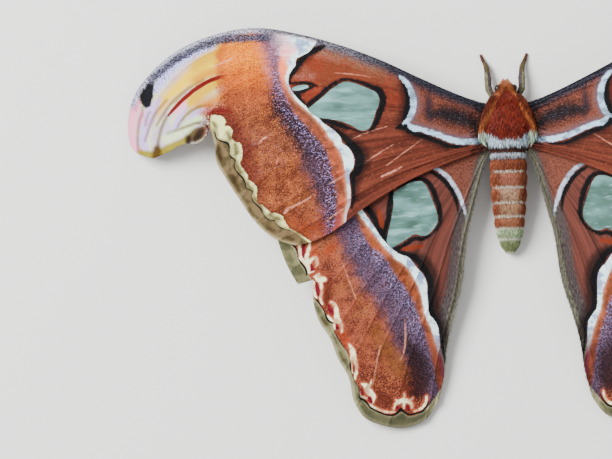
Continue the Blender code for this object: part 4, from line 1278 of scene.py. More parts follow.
def hindwing_finish():
    """The hindwing's pattern, laid down in the same order as the forewing's."""
    finish, board, inputs = material("hindwing_scales")
    rise, over, layers, mark = board.rise, board.over, board.layers, board.mark
    wobble, fine, speck, edge, patchy, coarse, streak, hairs = scale_dust(board, 34, 220)
    forward = mark("forward")

    # The field between the root and the white band, grey and hairy along the inner edge
    median = layers(
        (114, 72, 64),
        ((152, 96, 86), rise(streak, 0.3, 0.7)),
        ((88, 60, 58), rise(forward + wobble * 4, -38.0, -56.0) * 0.7),
        ((178, 124, 108), rise(hairs, 0.58, 0.74) * 0.35),
    )
    inner = mark("inner_gap")
    grey = over((78, 72, 76), (122, 116, 114), rise(hairs, 0.4, 0.6))
    median = over(median, grey, rise(inner + edge, 5.4, 3.2) * 0.9)
    pale_edge = rise(inner + edge * 0.8, 2.2, 0.8) * rise(hairs, 0.3, 0.6)
    median = over(median, (158, 156, 142), pale_edge * 0.9)
    colour = median
    basal = over((136, 84, 70), (168, 116, 100), rise(speck, 0.42, 0.58))
    colour = over(colour, basal, rise(mark("base"), 0.1, -0.1) * rise(inner, 1.6, 3.0) * 0.85)

    # The orange strip past the white band, the outer field and the violet band between them
    near, far = mark("white_near"), mark("white_far")
    strip = layers(
        (152, 92, 66),
        ((190, 122, 92), rise(patchy + speck * 0.4, 0.62, 0.8)),
        ((216, 160, 124), rise(hairs, 0.56, 0.72) * 0.3),
        ((124, 66, 56), rise(forward, -55.0, -66.0) * 0.7),
    )
    colour = over(colour, strip, rise(near, -0.1, 0.1))
    violet_near, violet_far = mark("violet_near"), mark("violet_far")
    field = layers(
        (126, 66, 54),
        ((190, 126, 100), rise(speck + patchy * 0.5, 0.62, 0.86)),
        ((188, 134, 96), rise(coarse + patchy * 0.3, 0.62, 0.8) * rise(speck, 0.36, 0.54) * 0.6),
        ((184, 138, 132), rise(hairs + coarse * 0.5, 0.8, 0.95) * 0.35),
        ((200, 106, 66), rise(mark("glow") + edge, 2.0, -1.0) * 0.5),
        ((112, 38, 26), rise(mark("deep_red") + edge, 1.8, -1.2) * 0.7),
        (
            (120, 56, 42),
            rise(mark("rear_gap") + wobble * 4, 7.0, 1.0) * rise(speck, 0.6, 0.44) * 0.9,
        ),
        (
            (160, 110, 68),
            rise(mark("ochre") + wobble * 2, 2.5, -1.5) * rise(speck, 0.4, 0.54) * 0.8,
        ),
    )
    colour = over(colour, field, rise(violet_far + edge * 2.4, -1.4, 2.2))
    violet = over((78, 64, 78), (138, 124, 146), rise(speck, 0.42, 0.6))
    lilac = rise(hairs + speck, 1.04, 1.16) * rise(violet_near + wobble * 2, 6.0, 1.0)
    violet = over(
        violet,
        (186, 184, 208),
        lilac * rise(forward, -66.0, -52.0) * rise(forward, -24.0, -34.0) * 0.8,
    )
    in_violet = rise(violet_near + edge, -0.6, 0.7) * rise(violet_far + edge * 2.8, 2.4, -2.6)
    colour = over(colour, violet, in_violet * 0.92)
    blot = over((44, 26, 30), (88, 48, 50), rise(speck, 0.46, 0.6))
    colour = over(colour, blot, rise(mark("blot") + edge * 2.5, 2.0, -2.0) * 0.9)

    # Cream frames round crimson spots, then a black wave and a beige border
    wave = mark("wave")
    cream = over((232, 230, 214), (212, 190, 168), rise(patchy, 0.44, 0.62))
    framed = mark("cream") + wobble * 0.8 + (fine - 0.5) * 0.5
    colour = layers(
        colour,
        ((206, 130, 108), rise(framed, 0.75, 0.2) * 0.5),
        (cream, rise(framed, 0.18, -0.2)),
        (
            over((116, 24, 40), (178, 58, 76), rise(speck, 0.42, 0.6)),
            rise(mark("spots") + wobble * 0.5, 0.16, -0.2),
        ),
    )
    tan = layers(
        (160, 154, 128),
        ((124, 122, 98), rise(patchy, 0.4, 0.6)),
        ((192, 188, 168), rise(mark("margin_gap") + wobble * 0.5, 1.3, 0.3) * 0.75),
        ((196, 190, 172), rise(wave + wobble * 0.6, 0.8, 0.1) * 0.5),
        ((96, 76, 46), rise(mark("brown") + wobble, 0.9, -0.8) * 0.88),
        ((92, 90, 74), rise(forward, -78.0, -83.0) * 0.65),
    )
    colour = layers(
        colour,
        (tan, rise(wave, -0.1, 0.1)),
        (
            (220, 184, 168),
            rise(mark("pale") + wobble * 0.3, 0.2, -0.2) * rise(hairs, 0.36, 0.52) * 0.7,
        ),
    )

    # Black ink and white bands
    ink = over((14, 13, 18), (48, 42, 50), rise(speck, 0.54, 0.66))
    softened = rise(mark("soft_black") + edge, 1.4, -0.8) * rise(near, 0.2, -0.2)
    colour = layers(
        colour,
        ((54, 32, 30), softened * 0.85),
        (ink, rise(mark("black") + edge * 0.6, 0.34, -0.26)),
        ((160, 78, 52), rise(mark("orange") + wobble * 0.5, 0.2, -0.3) * 0.9),
        ((14, 16, 20), rise(mark("wave_ink") + wobble * 0.2, 0.1, -0.12)),
    )
    white = over((222, 236, 246), (178, 196, 210), rise(patchy + wobble * 0.3, 0.46, 0.64))
    faded = rise(forward + wobble * 3, -56.0, -66.0)
    white = over(white, (138, 62, 96), faded)
    white_core = rise(near + edge * 0.3, -0.12, 0.14) * rise(far + edge * 0.4, 0.2, -0.3)
    glow = rise(near, -0.1, 0.1) * rise(far + edge * 0.8, 1.2, -0.2) * 0.4
    colour = layers(
        colour,
        ((222, 186, 168), glow * (1 - faded)),
        (white, white_core * (1 - faded * 0.4)),
    )
    base_white = over((206, 212, 218), (164, 174, 184), rise(patchy + wobble * 0.3, 0.42, 0.62))
    colour = over(colour, base_white, rise(mark("base_white") + edge * 0.5, 0.2, -0.2) * 0.9)

    colour = over(colour, (150, 108, 90), mark("under") * UNDERSIDE_FADE)
    relief = fine * 0.6 + hairs + streak
    dress(board, inputs, colour, SCALE_ROUGHNESS, SCALE_GLOSS, relief, SCALE_DEPTH)
    return finish


def hind_fields(worn):
    """The hindwing's one field: its two sides, its outer edge, and that edge as worn."""
    side_edge = along(HIND_SIDE_EDGE)

    def edge(rest):
        def places(shares):
            beside = side_edge(np.clip(shares / CORNER_SHARE, 0, 1))
            past = np.clip((shares - CORNER_SHARE) / (1 - CORNER_SHARE), 0, 1)
            return np.where((shares <= CORNER_SHARE)[:, None], beside, rest(past))

        return places

    outer = edge(along(HIND_MARGIN))
    worn_edge = edge(along(HIND_MARGIN_WORN)) if worn else outer
    return [(0.0, 1.0, along(HIND_COSTA), along(HIND_INNER), outer)], worn_edge


hind_scales = hindwing_finish()
hind_across, hind_out = np.linspace(0, 1, HIND_COLUMNS), wing_rows(HIND_ROWS)
for side, word in ((1, "right"), (-1, "left")):
    fields, worn_edge = hind_fields(side < 0)
    plan = wing_plan(fields, hind_across, hind_out)
    pull = fade((hind_out - SCRAP_REACH) / (1 - SCRAP_REACH))[:, None, None]
    plan = plan + pull * (worn_edge(hind_across) - fields[0][4](hind_across))[None]
    places = plan.reshape(-1, 2)
    ridge, pleat = vein_relief(hind_across, hind_out, plan, HIND_VEINS)
    kept, plan, window = cut_window(plan, [HIND_WINDOW])
    marks = wing_marks(plan, places, hind_across, hind_out, HIND_EDGES, HIND_STROKES)
    marks["inner_gap"] = nearest(places, smooth_curve(HIND_INNER))[0]
    marks["margin_gap"] = nearest(places, smooth_curve(HIND_MARGIN))[0]
    height = wing_height(plan[..., 0], plan[..., 1]) - HIND_BELOW_FORE - PLEAT_DEPTH * pleat
    wing = "hindwing_" + word
    grid = (plan, height, kept, window, marks, side, ridge)
    for piece in wing_pieces(wing, *grid, hind_scales):
        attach(piece, "root")
        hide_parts(wing)

# The body: head, furred thorax and ringed abdomen under one skin, closed at both ends. Its coat of
# hair-like scales is rooted in the skin and lies back along it, longest on the thorax.
BODY_ROUGHNESS = 0.62
BODY_GLOSS = 0.25
# The colour of the painted shade deep in the body's fur and on the skin under it
BODY_SHADE = (40, 12, 8)
# Rings of the skin: how far ahead, half the width, half the height, and the height of the middle
SKIN_RINGS = [
    (14.0, 0.5, 0.7, 7.6), (13.2, 1.5, 1.7, 7.9), (12.0, 2.3, 2.3, 8.4), (10.7, 2.7, 2.6, 8.8),
    (9.0, 3.7, 3.6, 9.2), (6.5, 5.0, 4.6, 9.4), (3.5, 6.0, 5.4, 9.6), (0.5, 6.4, 5.8, 9.7),
    (-2.5, 5.9, 5.6, 9.6), (-6.0, 4.9, 4.9, 9.3), (-12.0, 5.0, 4.9, 8.3), (-18.0, 4.8, 4.7, 6.9),
    (-24.0, 4.3, 4.3, 5.0), (-29.0, 3.7, 3.7, 3.8), (-33.0, 2.7, 2.6, 3.0), (-35.4, 1.2, 1.2, 2.4),
]
ABDOMEN_JOINTS = (-6.3, -8.3, -12.2, -16.8, -21.2, -25.2, -28.7, -31.9, -36.0)
SEGMENT_SWELL = 0.06
OVAL_POWER = 0.9
SKIN_STATIONS = 190
SKIN_SIDES = 72
BODY_BOTTOM = 0.25
CAP_ROOM = 0.02
# Hairs to a square mm, how long they are in mm, and what they lose toward the abdomen's tip
THORAX_HAIRS = 21.0
ABDOMEN_HAIRS = 18.0
THORAX_HAIR = 2.5
HEAD_HAIR = 1.1
ABDOMEN_HAIR = 1.25
TIP_LOSS = 0.25
HAIR_SIDES = 3
PATCH = 0.003


def face_outward(mesh):
    """Turns the faces of a closed mesh outward where they point inward."""
    mesh.calc_loop_triangles()
    corners = np.array([mesh.vertices[i].co for face in mesh.loop_triangles for i in face.vertices])
    first, second, third = corners.reshape(-1, 3, 3).transpose(1, 0, 2)
    if (first * np.cross(second, third)).sum() < 0:
        mesh.flip_normals()


def closed_tube(name, rings):
    """A closed tube through rings of points, with poles at its ends and an unwrap as its UV map."""
    rings = np.array(rings, float)
    count, sides = rings.shape[:2]
    points = np.vstack([rings.reshape(-1, 3), rings[:1].mean(1), rings[-1:].mean(1)])
    index = np.arange(count * sides).reshape(count, sides)
    after = np.roll(index, -1, axis=1)
    walls = np.stack([index[:-1], after[:-1], after[1:], index[1:]], axis=-1).reshape(-1, 4)
    first, last = count * sides, count * sides + 1
    caps = [[first, after[0, i], index[0, i]] for i in range(sides)]
    caps += [[last, index[-1, i], after[-1, i]] for i in range(sides)]
    mesh = bpy.data.meshes.new(name)
    mesh.from_pydata(points * MM, [], walls.tolist() + caps)
    mesh.update()
    mesh.polygons.foreach_set("use_smooth", [True] * len(mesh.polygons))

    length = distances(rings.mean(1))
    length = CAP_ROOM + (1 - 2 * CAP_ROOM) * length / length[-1]
    strips = [(column / sides, (column + 1) / sides) for column in range(sides)]
    corners = []
    for low, high in zip(length[:-1], length[1:]):
        for left, right in strips:
            corners += [(left, low), (right, low), (right, high), (left, high)]
    for left, right in strips:
        corners += [((left + right) / 2, 0.0), (right, length[0]), (left, length[0])]
    for left, right in strips:
        corners += [((left + right) / 2, 1.0), (left, length[-1]), (right, length[-1])]
    unwrap = mesh.uv_layers.new(name="OFBake")
    unwrap.data.foreach_set("uv", np.array(corners, np.float32).reshape(-1))
    face_outward(mesh)
    return placed(name, mesh)


def circle(sides):
    """The cosines and sines of the points round a ring."""
    turns = 2 * math.pi * np.arange(sides) / sides
    return np.cos(turns), np.sin(turns)


def skin_points(skin):
    """Marks each point of a skin with its place. Gives the places in mm and the ways they face."""
    points = np.array([vertex.co for vertex in skin.data.vertices])
    mark_points(skin, "place", points, "FLOAT_VECTOR")
    return points / MM, np.array([vertex.normal for vertex in skin.data.vertices])


def along_skin(way, normals):
    """The part of each way that runs along the skin."""
    return way - (way * normals).sum(1, keepdims=True) * normals


def root_hairs(skin, lie, length, density):
    """Marks each point of a skin with the lie, the length in mm and the density of its hairs."""
    mark_points(skin, "lie", lie, "FLOAT_VECTOR")
    mark_points(skin, "hair_length", np.broadcast_to(length, len(lie)) * MM)
    mark_points(skin, "density", np.broadcast_to(density, len(lie)))


def tuft_shape(name, width, lift, curl):
    """One tuft a unit long: three-sided, tapered to a point, rising from its root, laid back."""
    stations = [(0.0, 0.75), (0.35, 1.0), (0.72, 0.65)]
    points, shares = [], []
    for share, full in stations:
        rise = lift * math.sin(math.pi * min(1, share * 1.15) * 0.62) - curl * share**2
        for side in range(HAIR_SIDES):
            turn = 2 * math.pi * side / HAIR_SIDES + math.pi / 2
            wide = width / 2 * full
            points.append((share, wide * math.cos(turn), rise + 0.7 * wide * math.sin(turn)))
            shares.append(share)
    points.append((1.0, 0.0, lift * math.sin(math.pi * 0.713) - curl))
    shares.append(1.0)
    faces = [(0, 1, 2)]
    for ring in range(len(stations) - 1):
        for side in range(HAIR_SIDES):
            low, high = ring * HAIR_SIDES + side, ring * HAIR_SIDES + (side + 1) % HAIR_SIDES
            faces.append((low, low + HAIR_SIDES, high + HAIR_SIDES, high))
    ring, tip = (len(stations) - 1) * HAIR_SIDES, len(points) - 1
    for side in range(HAIR_SIDES):
        faces.append((ring + side, tip, ring + (side + 1) % HAIR_SIDES))
    mesh = bpy.data.meshes.new(name)
    mesh.from_pydata(points, [], faces)
    mesh.update()
    mesh.polygons.foreach_set("use_smooth", [True] * len(faces))
    face_outward(mesh)
    tuft = placed(name, mesh)
    mark_points(tuft, "tip", shares)
    spots = [(share - 0.5, y / width, 0.0) for share, (_, y, _) in zip(shares, points)]
    mark_points(tuft, "spot", spots, "FLOAT_VECTOR")
    return tuft


def new_tree(name, **kinds):
    """The board of a Geometry Nodes tree with inputs of these kinds, and the wires from them."""
    tree = bpy.data.node_groups.new(name, "GeometryNodeTree")
    tree.interface.new_socket("Geometry", in_out="OUTPUT", socket_type="NodeSocketGeometry")
    for socket, kind in kinds.items():
        tree.interface.new_socket(socket, in_out="INPUT", socket_type="NodeSocket" + kind)
    board = Board(tree)
    given = tree.nodes.new("NodeGroupInput")
    return board, [Wire(board, socket) for socket in given.outputs if socket.name]


def stored(board, name, kind="FLOAT"):
    """What the points of a mesh hold under a name."""
    settings = {"data_type": kind}
    return board.add("GeometryNodeInputNamedAttribute", settings, {"Name": name}, "Attribute")


def store(board, geometry, name, value, kind="FLOAT_VECTOR", domain="POINT"):
    """The geometry with a value stored on it under a name."""
    inputs = {"Geometry": geometry, "Name": name, "Value": value}
    settings = {"data_type": kind, "domain": domain}
    return board.add("GeometryNodeStoreNamedAttribute", settings, inputs)


def planted(board, points, shape, axes, ways, scale):
    """A copy of a shape at each point, scaled, with two of its axes turned to two ways."""
    turn = dict(zip(("primary_axis", "secondary_axis"), axes))
    ways = dict(zip(("Primary Axis", "Secondary Axis"), ways))
    inputs = {
        "Points": points,
        "Instance": board.add("GeometryNodeObjectInfo", None, {"Object": shape}, "Geometry"),
        "Rotation": board.add("FunctionNodeAxesToRotation", turn, ways),
        "Scale": scale,
    }
    grown = board.add("GeometryNodeInstanceOnPoints", None, inputs)
    return board.add("GeometryNodeRealizeInstances", None, {"Geometry": grown})


def closed_tree(board, grown, finish):
    """The tree, once it gives out what has grown, in its finish."""
    grown = board.add("GeometryNodeSetMaterial", None, {"Geometry": grown, "Material": finish})
    board.feed(board.tree.nodes.new("NodeGroupOutput").inputs[0], grown)
    return board.tree


def fur_tree():
    """Tufts on a skin: scattered by its density, turned to its lie, scaled by its hair length."""
    board, (skin, tuft, density, stray, seed, finish) = new_tree(
        "fur",
        Geometry="Geometry",
        Tuft="Object",
        Density="Float",
        Stray="Float",
        Seed="Int",
        Finish="Material",
    )

    def vector(operation, first, second):
        return board.add("ShaderNodeVectorMath", {"operation": operation}, {0: first, 1: second})

    def scaled(way, scale):
        inputs = {0: way, "Scale": scale}
        return board.add("ShaderNodeVectorMath", {"operation": "SCALE"}, inputs)

    def varied(kind, low, high, after):
        inputs = {"Min": low, "Max": high, "Seed": seed + after}
        return board.add("FunctionNodeRandomValue", {"data_type": kind}, inputs, "Value")

    scatter = board.tree.nodes.new("GeometryNodeDistributePointsOnFaces")
    scatter.distribute_method = "RANDOM"
    board.feed(scatter.inputs["Mesh"], skin)
    board.feed(scatter.inputs["Density"], stored(board, "density") * density)
    board.feed(scatter.inputs["Seed"], seed)
    points, normal = (Wire(board, scatter.outputs[name]) for name in ("Points", "Normal"))
    points = store(board, points, "place", board.add("GeometryNodeInputPosition"))
    points = store(board, points, "root_patch", stored(board, "OFBake", "FLOAT_VECTOR"))
    points = store(board, points, "shade", varied("FLOAT", 0.0, 1.0, 11.0), "FLOAT")
    aside = vector("MULTIPLY", varied("FLOAT_VECTOR", (-1,) * 3, (1,) * 3, 23.0), (1.0, 1.0, 0.6))
    lie = vector("ADD", stored(board, "lie", "FLOAT_VECTOR"), scaled(aside, stray))
    scale = varied("FLOAT", 0.7, 1.25, 37.0) * stored(board, "hair_length")
    grown = planted(board, points, tuft, ("Z", "X"), (normal, lie), scale)
    spot = scaled(stored(board, "spot", "FLOAT_VECTOR"), PATCH)
    patch = vector("ADD", stored(board, "root_patch", "FLOAT_VECTOR"), spot)
    grown = store(board, grown, "OFBake", patch, "FLOAT2", "CORNER")
    return closed_tree(board, grown, finish)


fur = fur_tree()


def grown_mesh(name, carrier, tree, values):
    """What a tree grows on a carrier, as a plain mesh of its own. The carrier is removed."""
    growth = carrier.modifiers.new(tree.name, "NODES")
    growth.node_group = tree
    for item in tree.interface.items_tree:
        if item.in_out == "INPUT" and item.name in values:
            growth[item.identifier] = values[item.name]
    bpy.context.view_layer.update()
    grown = carrier.evaluated_get(bpy.context.evaluated_depsgraph_get())
    mesh = bpy.data.meshes.new_from_object(grown)
    mesh.name = name
    carrier.modifiers.clear()
    bpy.data.objects.remove(carrier)
    return placed(name, mesh)


def grow_fur(name, skin, tuft, per_mm2, stray, seed, finish):
    """The coat of a skin as a plain mesh of its own, with tufts that lie astray by so much."""
    density = per_mm2 / MM**2
    values = {"Tuft": tuft, "Density": density, "Stray": stray, "Seed": seed, "Finish": finish}
    return grown_mesh(name, placed(name + "_carrier", skin.data), fur, values)


def body_colours(board, back=0.0):
    """The body's markings by place: how far ahead, and how far beside the middle.

    A coat shows its colours at its tips, a little behind the roots, so it asks for them from
    further back.
    """
    rise, over, layers = board.rise, board.over, board.layers
    place = board.mark("place", "Vector")
    across, ahead = (board.add("ShaderNodeSeparateXYZ", None, {0: place}, axis) for axis in (0, 1))
    beside = board.maths("ABSOLUTE", across) / MM
    ahead = ahead / MM - FORWARD
    ahead = ahead - (rise(ahead, -4.0, 0.0) * rise(ahead, 12.0, 9.0) * 0.8 + 0.8) * back
    wobble = board.noise(place, 1.6, 3.0) - 0.5
    fleck = board.noise(place, 0.5)
    flow = ahead + wobble * 0.9

    # The thorax: brick red, with a golden ridge down each side and a pale face
    brick = over((126, 42, 16), (170, 66, 32), rise(fleck, 0.38, 0.66))
    flank = over((124, 56, 36), (168, 90, 58), rise(fleck, 0.38, 0.66))
    gold = over((164, 104, 64), (206, 148, 104), rise(fleck, 0.4, 0.65))
    past_ridge = beside - (12.9 - ahead) * 0.58 + wobble * 0.5
    on_ridge = rise(board.maths("ABSOLUTE", past_ridge), 0.84, 0.3) * rise(ahead, -1.6, -0.6)
    thorax = layers(
        brick,
        (flank, rise(past_ridge, 0.2, 0.9)),
        (gold, on_ridge * 0.95),
        ((204, 156, 128), rise(flow, 12.2, 13.0)),
    )

    # The abdomen: brown with pale bars down its middle, a green tail, a white line at each joint
    abdomen = over((134, 74, 52), (186, 122, 94), rise(fleck, 0.36, 0.64))
    middle = rise(beside + wobble * 2, 4.0, 1.4) * rise(fleck, 0.28, 0.5)
    for start, end, tint in (
        (-12.6, -16.2, (196, 150, 132)),
        (-17.2, -20.6, (206, 184, 168)),
        (-21.6, -24.8, (202, 176, 156)),
        (-25.6, -28.2, (196, 152, 128)),
    ):
        bar = rise(flow, start, start - 0.6) * rise(flow, end - 0.6, end) * middle
        abdomen = over(abdomen, tint, bar)
    tail = over((158, 172, 150), (206, 214, 196), rise(fleck, 0.36, 0.66))
    tip = over((148, 156, 130), (186, 194, 166), rise(fleck, 0.36, 0.66))
    abdomen = over(abdomen, tail, rise(flow, -28.2, -28.8))
    abdomen = over(abdomen, tip, rise(flow, -31.8, -32.8))
    for joint in ABDOMEN_JOINTS[2:]:
        line = rise(board.maths("ABSOLUTE", ahead - joint + wobble * 0.3), 0.42, 0.16)
        line = line * rise(beside + wobble, 5.0, 3.4) * 0.9
        abdomen = over(abdomen, (222, 220, 214), line)

    # The white collar, and the flat curve across it on which the thorax's fur ends
    white = over((212, 222, 226), (150, 160, 164), rise(fleck, 0.4, 0.7))
    line = rise(board.maths("ABSOLUTE", ahead + 7.7 + wobble), 1.0, 0.5)
    abdomen = layers(
        abdomen,
        ((84, 34, 28), rise(flow, -8.9, -8.4) * rise(fleck, 0.3, 0.5)),
        (over(white, (170, 150, 148), 0.4), line),
        (white, rise(ahead + wobble * 1.4, -4.5, -3.9)),
    )
    inner = board.maths("MINIMUM", beside, 5.0)
    outer = board.maths("MAXIMUM", beside - 5.0, 0.0)
    rear = inner**4 * 0.0034 - outer * 1.6 - 2.8
    return over(abdomen, thorax, rise(ahead + wobble * 1.2 - rear, -0.3, 0.3)), fleck


def body_finish(name, coat):
    """The body's markings, with painted shade at the coat's roots and over the skin under it."""
    finish, board, inputs = material(name)
    colour, fleck = body_colours(board, 1.0 if coat else 0.0)
    if coat:
        # Painted shade deep in the coat, toward the hairs' roots
        roots = board.over(colour, BODY_SHADE, 0.5)
        colour = board.over(roots, colour, board.rise(board.mark("tip"), 0.0, 0.5))
        lightest = board.rise(board.mark("shade"), 0.6, 1.0)
        colour = board.over(colour, (220, 170, 130), lightest * 0.1)
        dress(board, inputs, colour, BODY_ROUGHNESS, BODY_GLOSS)
    else:
        # Painted shade over the skin under the coat
        colour = board.over(colour, BODY_SHADE, 0.4)
        dress(board, inputs, colour, BODY_ROUGHNESS, BODY_GLOSS, fleck, depth=0.2, strength=0.8)
    return finish


def body_ring(ahead, half_width, half_height, middle):
    """One closed ring of the skin, seen from behind, from its right side over its top."""
    wide, high = circle(SKIN_SIDES)
    x = np.sign(wide) * np.abs(wide) ** OVAL_POWER * half_width
    z = middle + np.sign(high) * np.abs(high) ** OVAL_POWER * half_height
    return np.column_stack([x, np.full(SKIN_SIDES, ahead + FORWARD), np.maximum(z, BODY_BOTTOM)])


ring_table = np.array(SKIN_RINGS)[::-1]
size_lines = [smooth_curve(ring_table[:, [0, column]]) for column in (1, 2, 3)]
rings = []
for ahead in np.linspace(ring_table[-1, 0], ring_table[0, 0], SKIN_STATIONS):
    half_width, half_height, middle = (np.interp(ahead, *line.T) for line in size_lines)
    if ahead < ABDOMEN_JOINTS[0]:
        joint = np.searchsorted(-np.array(ABDOMEN_JOINTS), -ahead) - 1
        start, end = ABDOMEN_JOINTS[joint], ABDOMEN_JOINTS[min(joint + 1, len(ABDOMEN_JOINTS) - 1)]
        share = (start - ahead) / max(start - end, 0.1)
        swell = 1 + SEGMENT_SWELL * (math.sin(math.pi * min(share, 1)) - 0.5)
        half_width, half_height = half_width * swell, half_height * swell
    rings.append(body_ring(ahead, half_width, half_height, middle))
body = closed_tube("body_skin", rings)
body.data.materials.append(body_finish("body_fur_base", coat=False))
body_fur = body_finish("body_fur", coat=True)

points, normals = skin_points(body)
ahead = points[:, 1] - FORWARD
back = np.tile([0.0, -1.0, 0.0], (len(points), 1))
back[:, 0] = 0.35 * np.sign(points[:, 0]) * np.clip(np.abs(points[:, 0]) / 5, 0, 1) * (ahead > -5)
thorax_part = np.clip((ahead + 5.0) / 2.0, 0, 1)
head_part = np.clip((ahead - 9.5) / 2.0, 0, 1)
tip_part = np.clip((-24 - ahead) / 8, 0, 1)
length = (ABDOMEN_HAIR - TIP_LOSS * tip_part) * (1 - thorax_part)
length += thorax_part * (THORAX_HAIR * (1 - head_part) + HEAD_HAIR * head_part)
density = (points[:, 2] > 0.7) * np.clip(0.55 + normals[:, 2] * 1.5, 0.4, 1)
thorax_tuft = tuft_shape("thorax_tuft", width=0.085, lift=0.26, curl=0.08)
abdomen_tuft = tuft_shape("abdomen_tuft", width=0.13, lift=0.2, curl=0.07)
root_hairs(body, along_skin(back, normals), length, thorax_part * density)
thorax_coat = grow_fur("thorax_coat", body, thorax_tuft, THORAX_HAIRS, 0.35, 7, body_fur)
mark_points(body, "density", (1 - thorax_part) * density)
abdomen_coat = grow_fur("abdomen_coat", body, abdomen_tuft, ABDOMEN_HAIRS, 0.25, 8, body_fur)
body_slots = ((body, "abdomen_fur"), (thorax_coat, "thorax_fur"), (abdomen_coat, "abdomen_fur"))
for piece, slot in body_slots:
    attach(piece, "root")
    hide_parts("head", "thorax", "abdomen")

# The shoulder pads: two oval plates hinged over the forewings' roots, under brick-red hair with a
# golden ridge along the inner edge. The longest hairs hang back behind them in thin pale strands.
PAD_SIZE = (1.75, 6.2, 1.4)
PAD_PLACE = (5.25, 4.1, 12.6)
PAD_TURN = math.radians(20)
PAD_DROOP = 0.035
PAD_ROUNDING = 0.8
PAD_ENDS = (0.02, 0.98)
PAD_RINGS = 40
PAD_SIDES = 32
PAD_HAIRS = 30.0
PAD_HAIR = 1.4
STRAND_EXTRA = 3.0


def pad_finish():
    """The thorax's colours, which turn to pale strands at the rear end of the pad."""
    finish, board, inputs = material("shoulder_fur")
    colour, fleck = body_colours(board, 0.7)
    pale = board.over((168, 180, 172), (218, 226, 218), board.rise(fleck, 0.36, 0.62))
    strand = board.rise(board.mark("along_pad") + fleck * 0.1, 0.84, 0.92)
    colour = board.over(colour, pale, strand)
    # Painted shade deep in the coat, toward the hairs' roots
    roots = board.over(colour, (40, 14, 8), 0.5)
    colour = board.over(roots, colour, board.rise(board.mark("tip"), 0.0, 0.5))
    dress(board, inputs, colour, 0.6, 0.25)
    return finish


pad_fur = pad_finish()
pad_tuft = tuft_shape("pad_tuft", width=0.07, lift=0.18, curl=0.05)
for side, word in ((1, "right"), (-1, "left")):
    rings = []
    wide, high = circle(PAD_SIDES)
    for share in np.linspace(*PAD_ENDS, PAD_RINGS):
        full = math.sin(math.pi * share) ** PAD_ROUNDING
        x = PAD_SIZE[0] * full * wide
        y = np.full(PAD_SIDES, PAD_SIZE[1] * math.cos(math.pi * share))
        z = PAD_SIZE[2] * full * high - PAD_DROOP * np.maximum(y, 0) ** 2
        turned_x = x * math.cos(PAD_TURN) - y * math.sin(PAD_TURN)
        turned_y = x * math.sin(PAD_TURN) + y * math.cos(PAD_TURN)
        x, y = side * (PAD_PLACE[0] + turned_x), PAD_PLACE[1] + turned_y + FORWARD
        rings.append(np.column_stack([x, y, PAD_PLACE[2] + z])[::side])
    pad = closed_tube("shoulder_pad_" + word, rings)
    pad.data.materials.append(pad_fur)
    points, normals = skin_points(pad)
    pad_front = PAD_PLACE[1] + FORWARD + PAD_SIZE[1]
    share = np.clip((pad_front - points[:, 1]) / (2 * PAD_SIZE[1]), 0, 1)
    mark_points(pad, "along_pad", share)
    back = np.tile([-side * 0.12, -1.0, 0.0], (len(points), 1))
    length = PAD_HAIR + STRAND_EXTRA * np.clip(share * 4 - 3, 0, 1)
    density = np.where(share > 0.8, 0.6, 1.0) * ((back * normals).sum(1) < 0.7)
    root_hairs(pad, along_skin(back, normals), length, density)
    coat_name, seed = "shoulder_coat_" + word, 31 + side
    pad_coat = grow_fur(coat_name, pad, pad_tuft, PAD_HAIRS, 0.2, seed, pad_fur)
    for piece in (pad, pad_coat):
        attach(piece, "root")
        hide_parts("tegula_" + word)

# The hairs of the wings: long and loose over the wings' roots and along the hindwings' inner edges,
# where they hang past the rim. They carry the colours of the scales that they grow between.
WING_HAIRS = 13.0
ROOT_SHARE = 0.5
ROOT_REACH = (7.0, 11.0)
ROOT_HAIR = (2.2, 1.4)
EDGE_HAIR = 1.0
EDGE_STRIP = (0.7, 2.2)


def read_points(mesh, name, field="value", width=1):
    """What the points of a mesh hold under a name, in one row of numbers."""
    values = np.empty(width * len(mesh.vertices), np.float32)
    mesh.attributes[name].data.foreach_get(field, values)
    return values


wing_tuft = tuft_shape("wing_tuft", width=0.08, lift=0.09, curl=0.03)
for side, word in ((1, "right"), (-1, "left")):
    for wing_word, finish in (("forewing", fore_scales), ("hindwing", hind_scales)):
        wing = bpy.data.objects["_".join((wing_word, word, "membrane"))]
        out = np.abs(read_points(wing.data, "position", "vector", 3)[::3]) / MM
        over_root = np.clip((ROOT_REACH[1] - out) / (ROOT_REACH[1] - ROOT_REACH[0]), 0, 1)
        length = ROOT_HAIR[1] + (ROOT_HAIR[0] - ROOT_HAIR[1]) * over_root
        density = over_root * ROOT_SHARE
        lie = np.tile([side, -0.4, 0.0], (len(out), 1))
        if wing_word == "hindwing":
            past_strip = EDGE_STRIP[1] - read_points(wing.data, "inner_gap")
            on_edge = np.clip(past_strip / (EDGE_STRIP[1] - EDGE_STRIP[0]), 0, 1)
            density = np.maximum(density * 0.5, on_edge)
            length = np.where(on_edge > 0, EDGE_HAIR, length)
            lie[on_edge > 0] = [-side * 0.4, -0.84, 0.0]
        root_hairs(wing, lie, length, density * (read_points(wing.data, "under") < 0.5))
        coat_name, seed = "_".join((wing_word, word, "coat")), 41 + side
        wing_coat = grow_fur(coat_name, wing, wing_tuft, WING_HAIRS, 0.3, seed, finish)
        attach(wing_coat, "root")
        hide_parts(wing_word + "_" + word)
        wing_word + "_scales"

# The eyes: two nearly black domes of hundreds of small lenses, set in the sides of the head. Each
# stands a little out of the fur, so that its gloss shows.
EYE_RADIUS = 1.12
EYE_PLACE = (2.35, 11.9, 8.5)
EYE_FLATNESS = 0.86
EYE_ENDS = (0.03, 0.97)
EYE_RINGS = 26
EYE_SIDES = 36
LENSES_PER_METRE = 9000.0


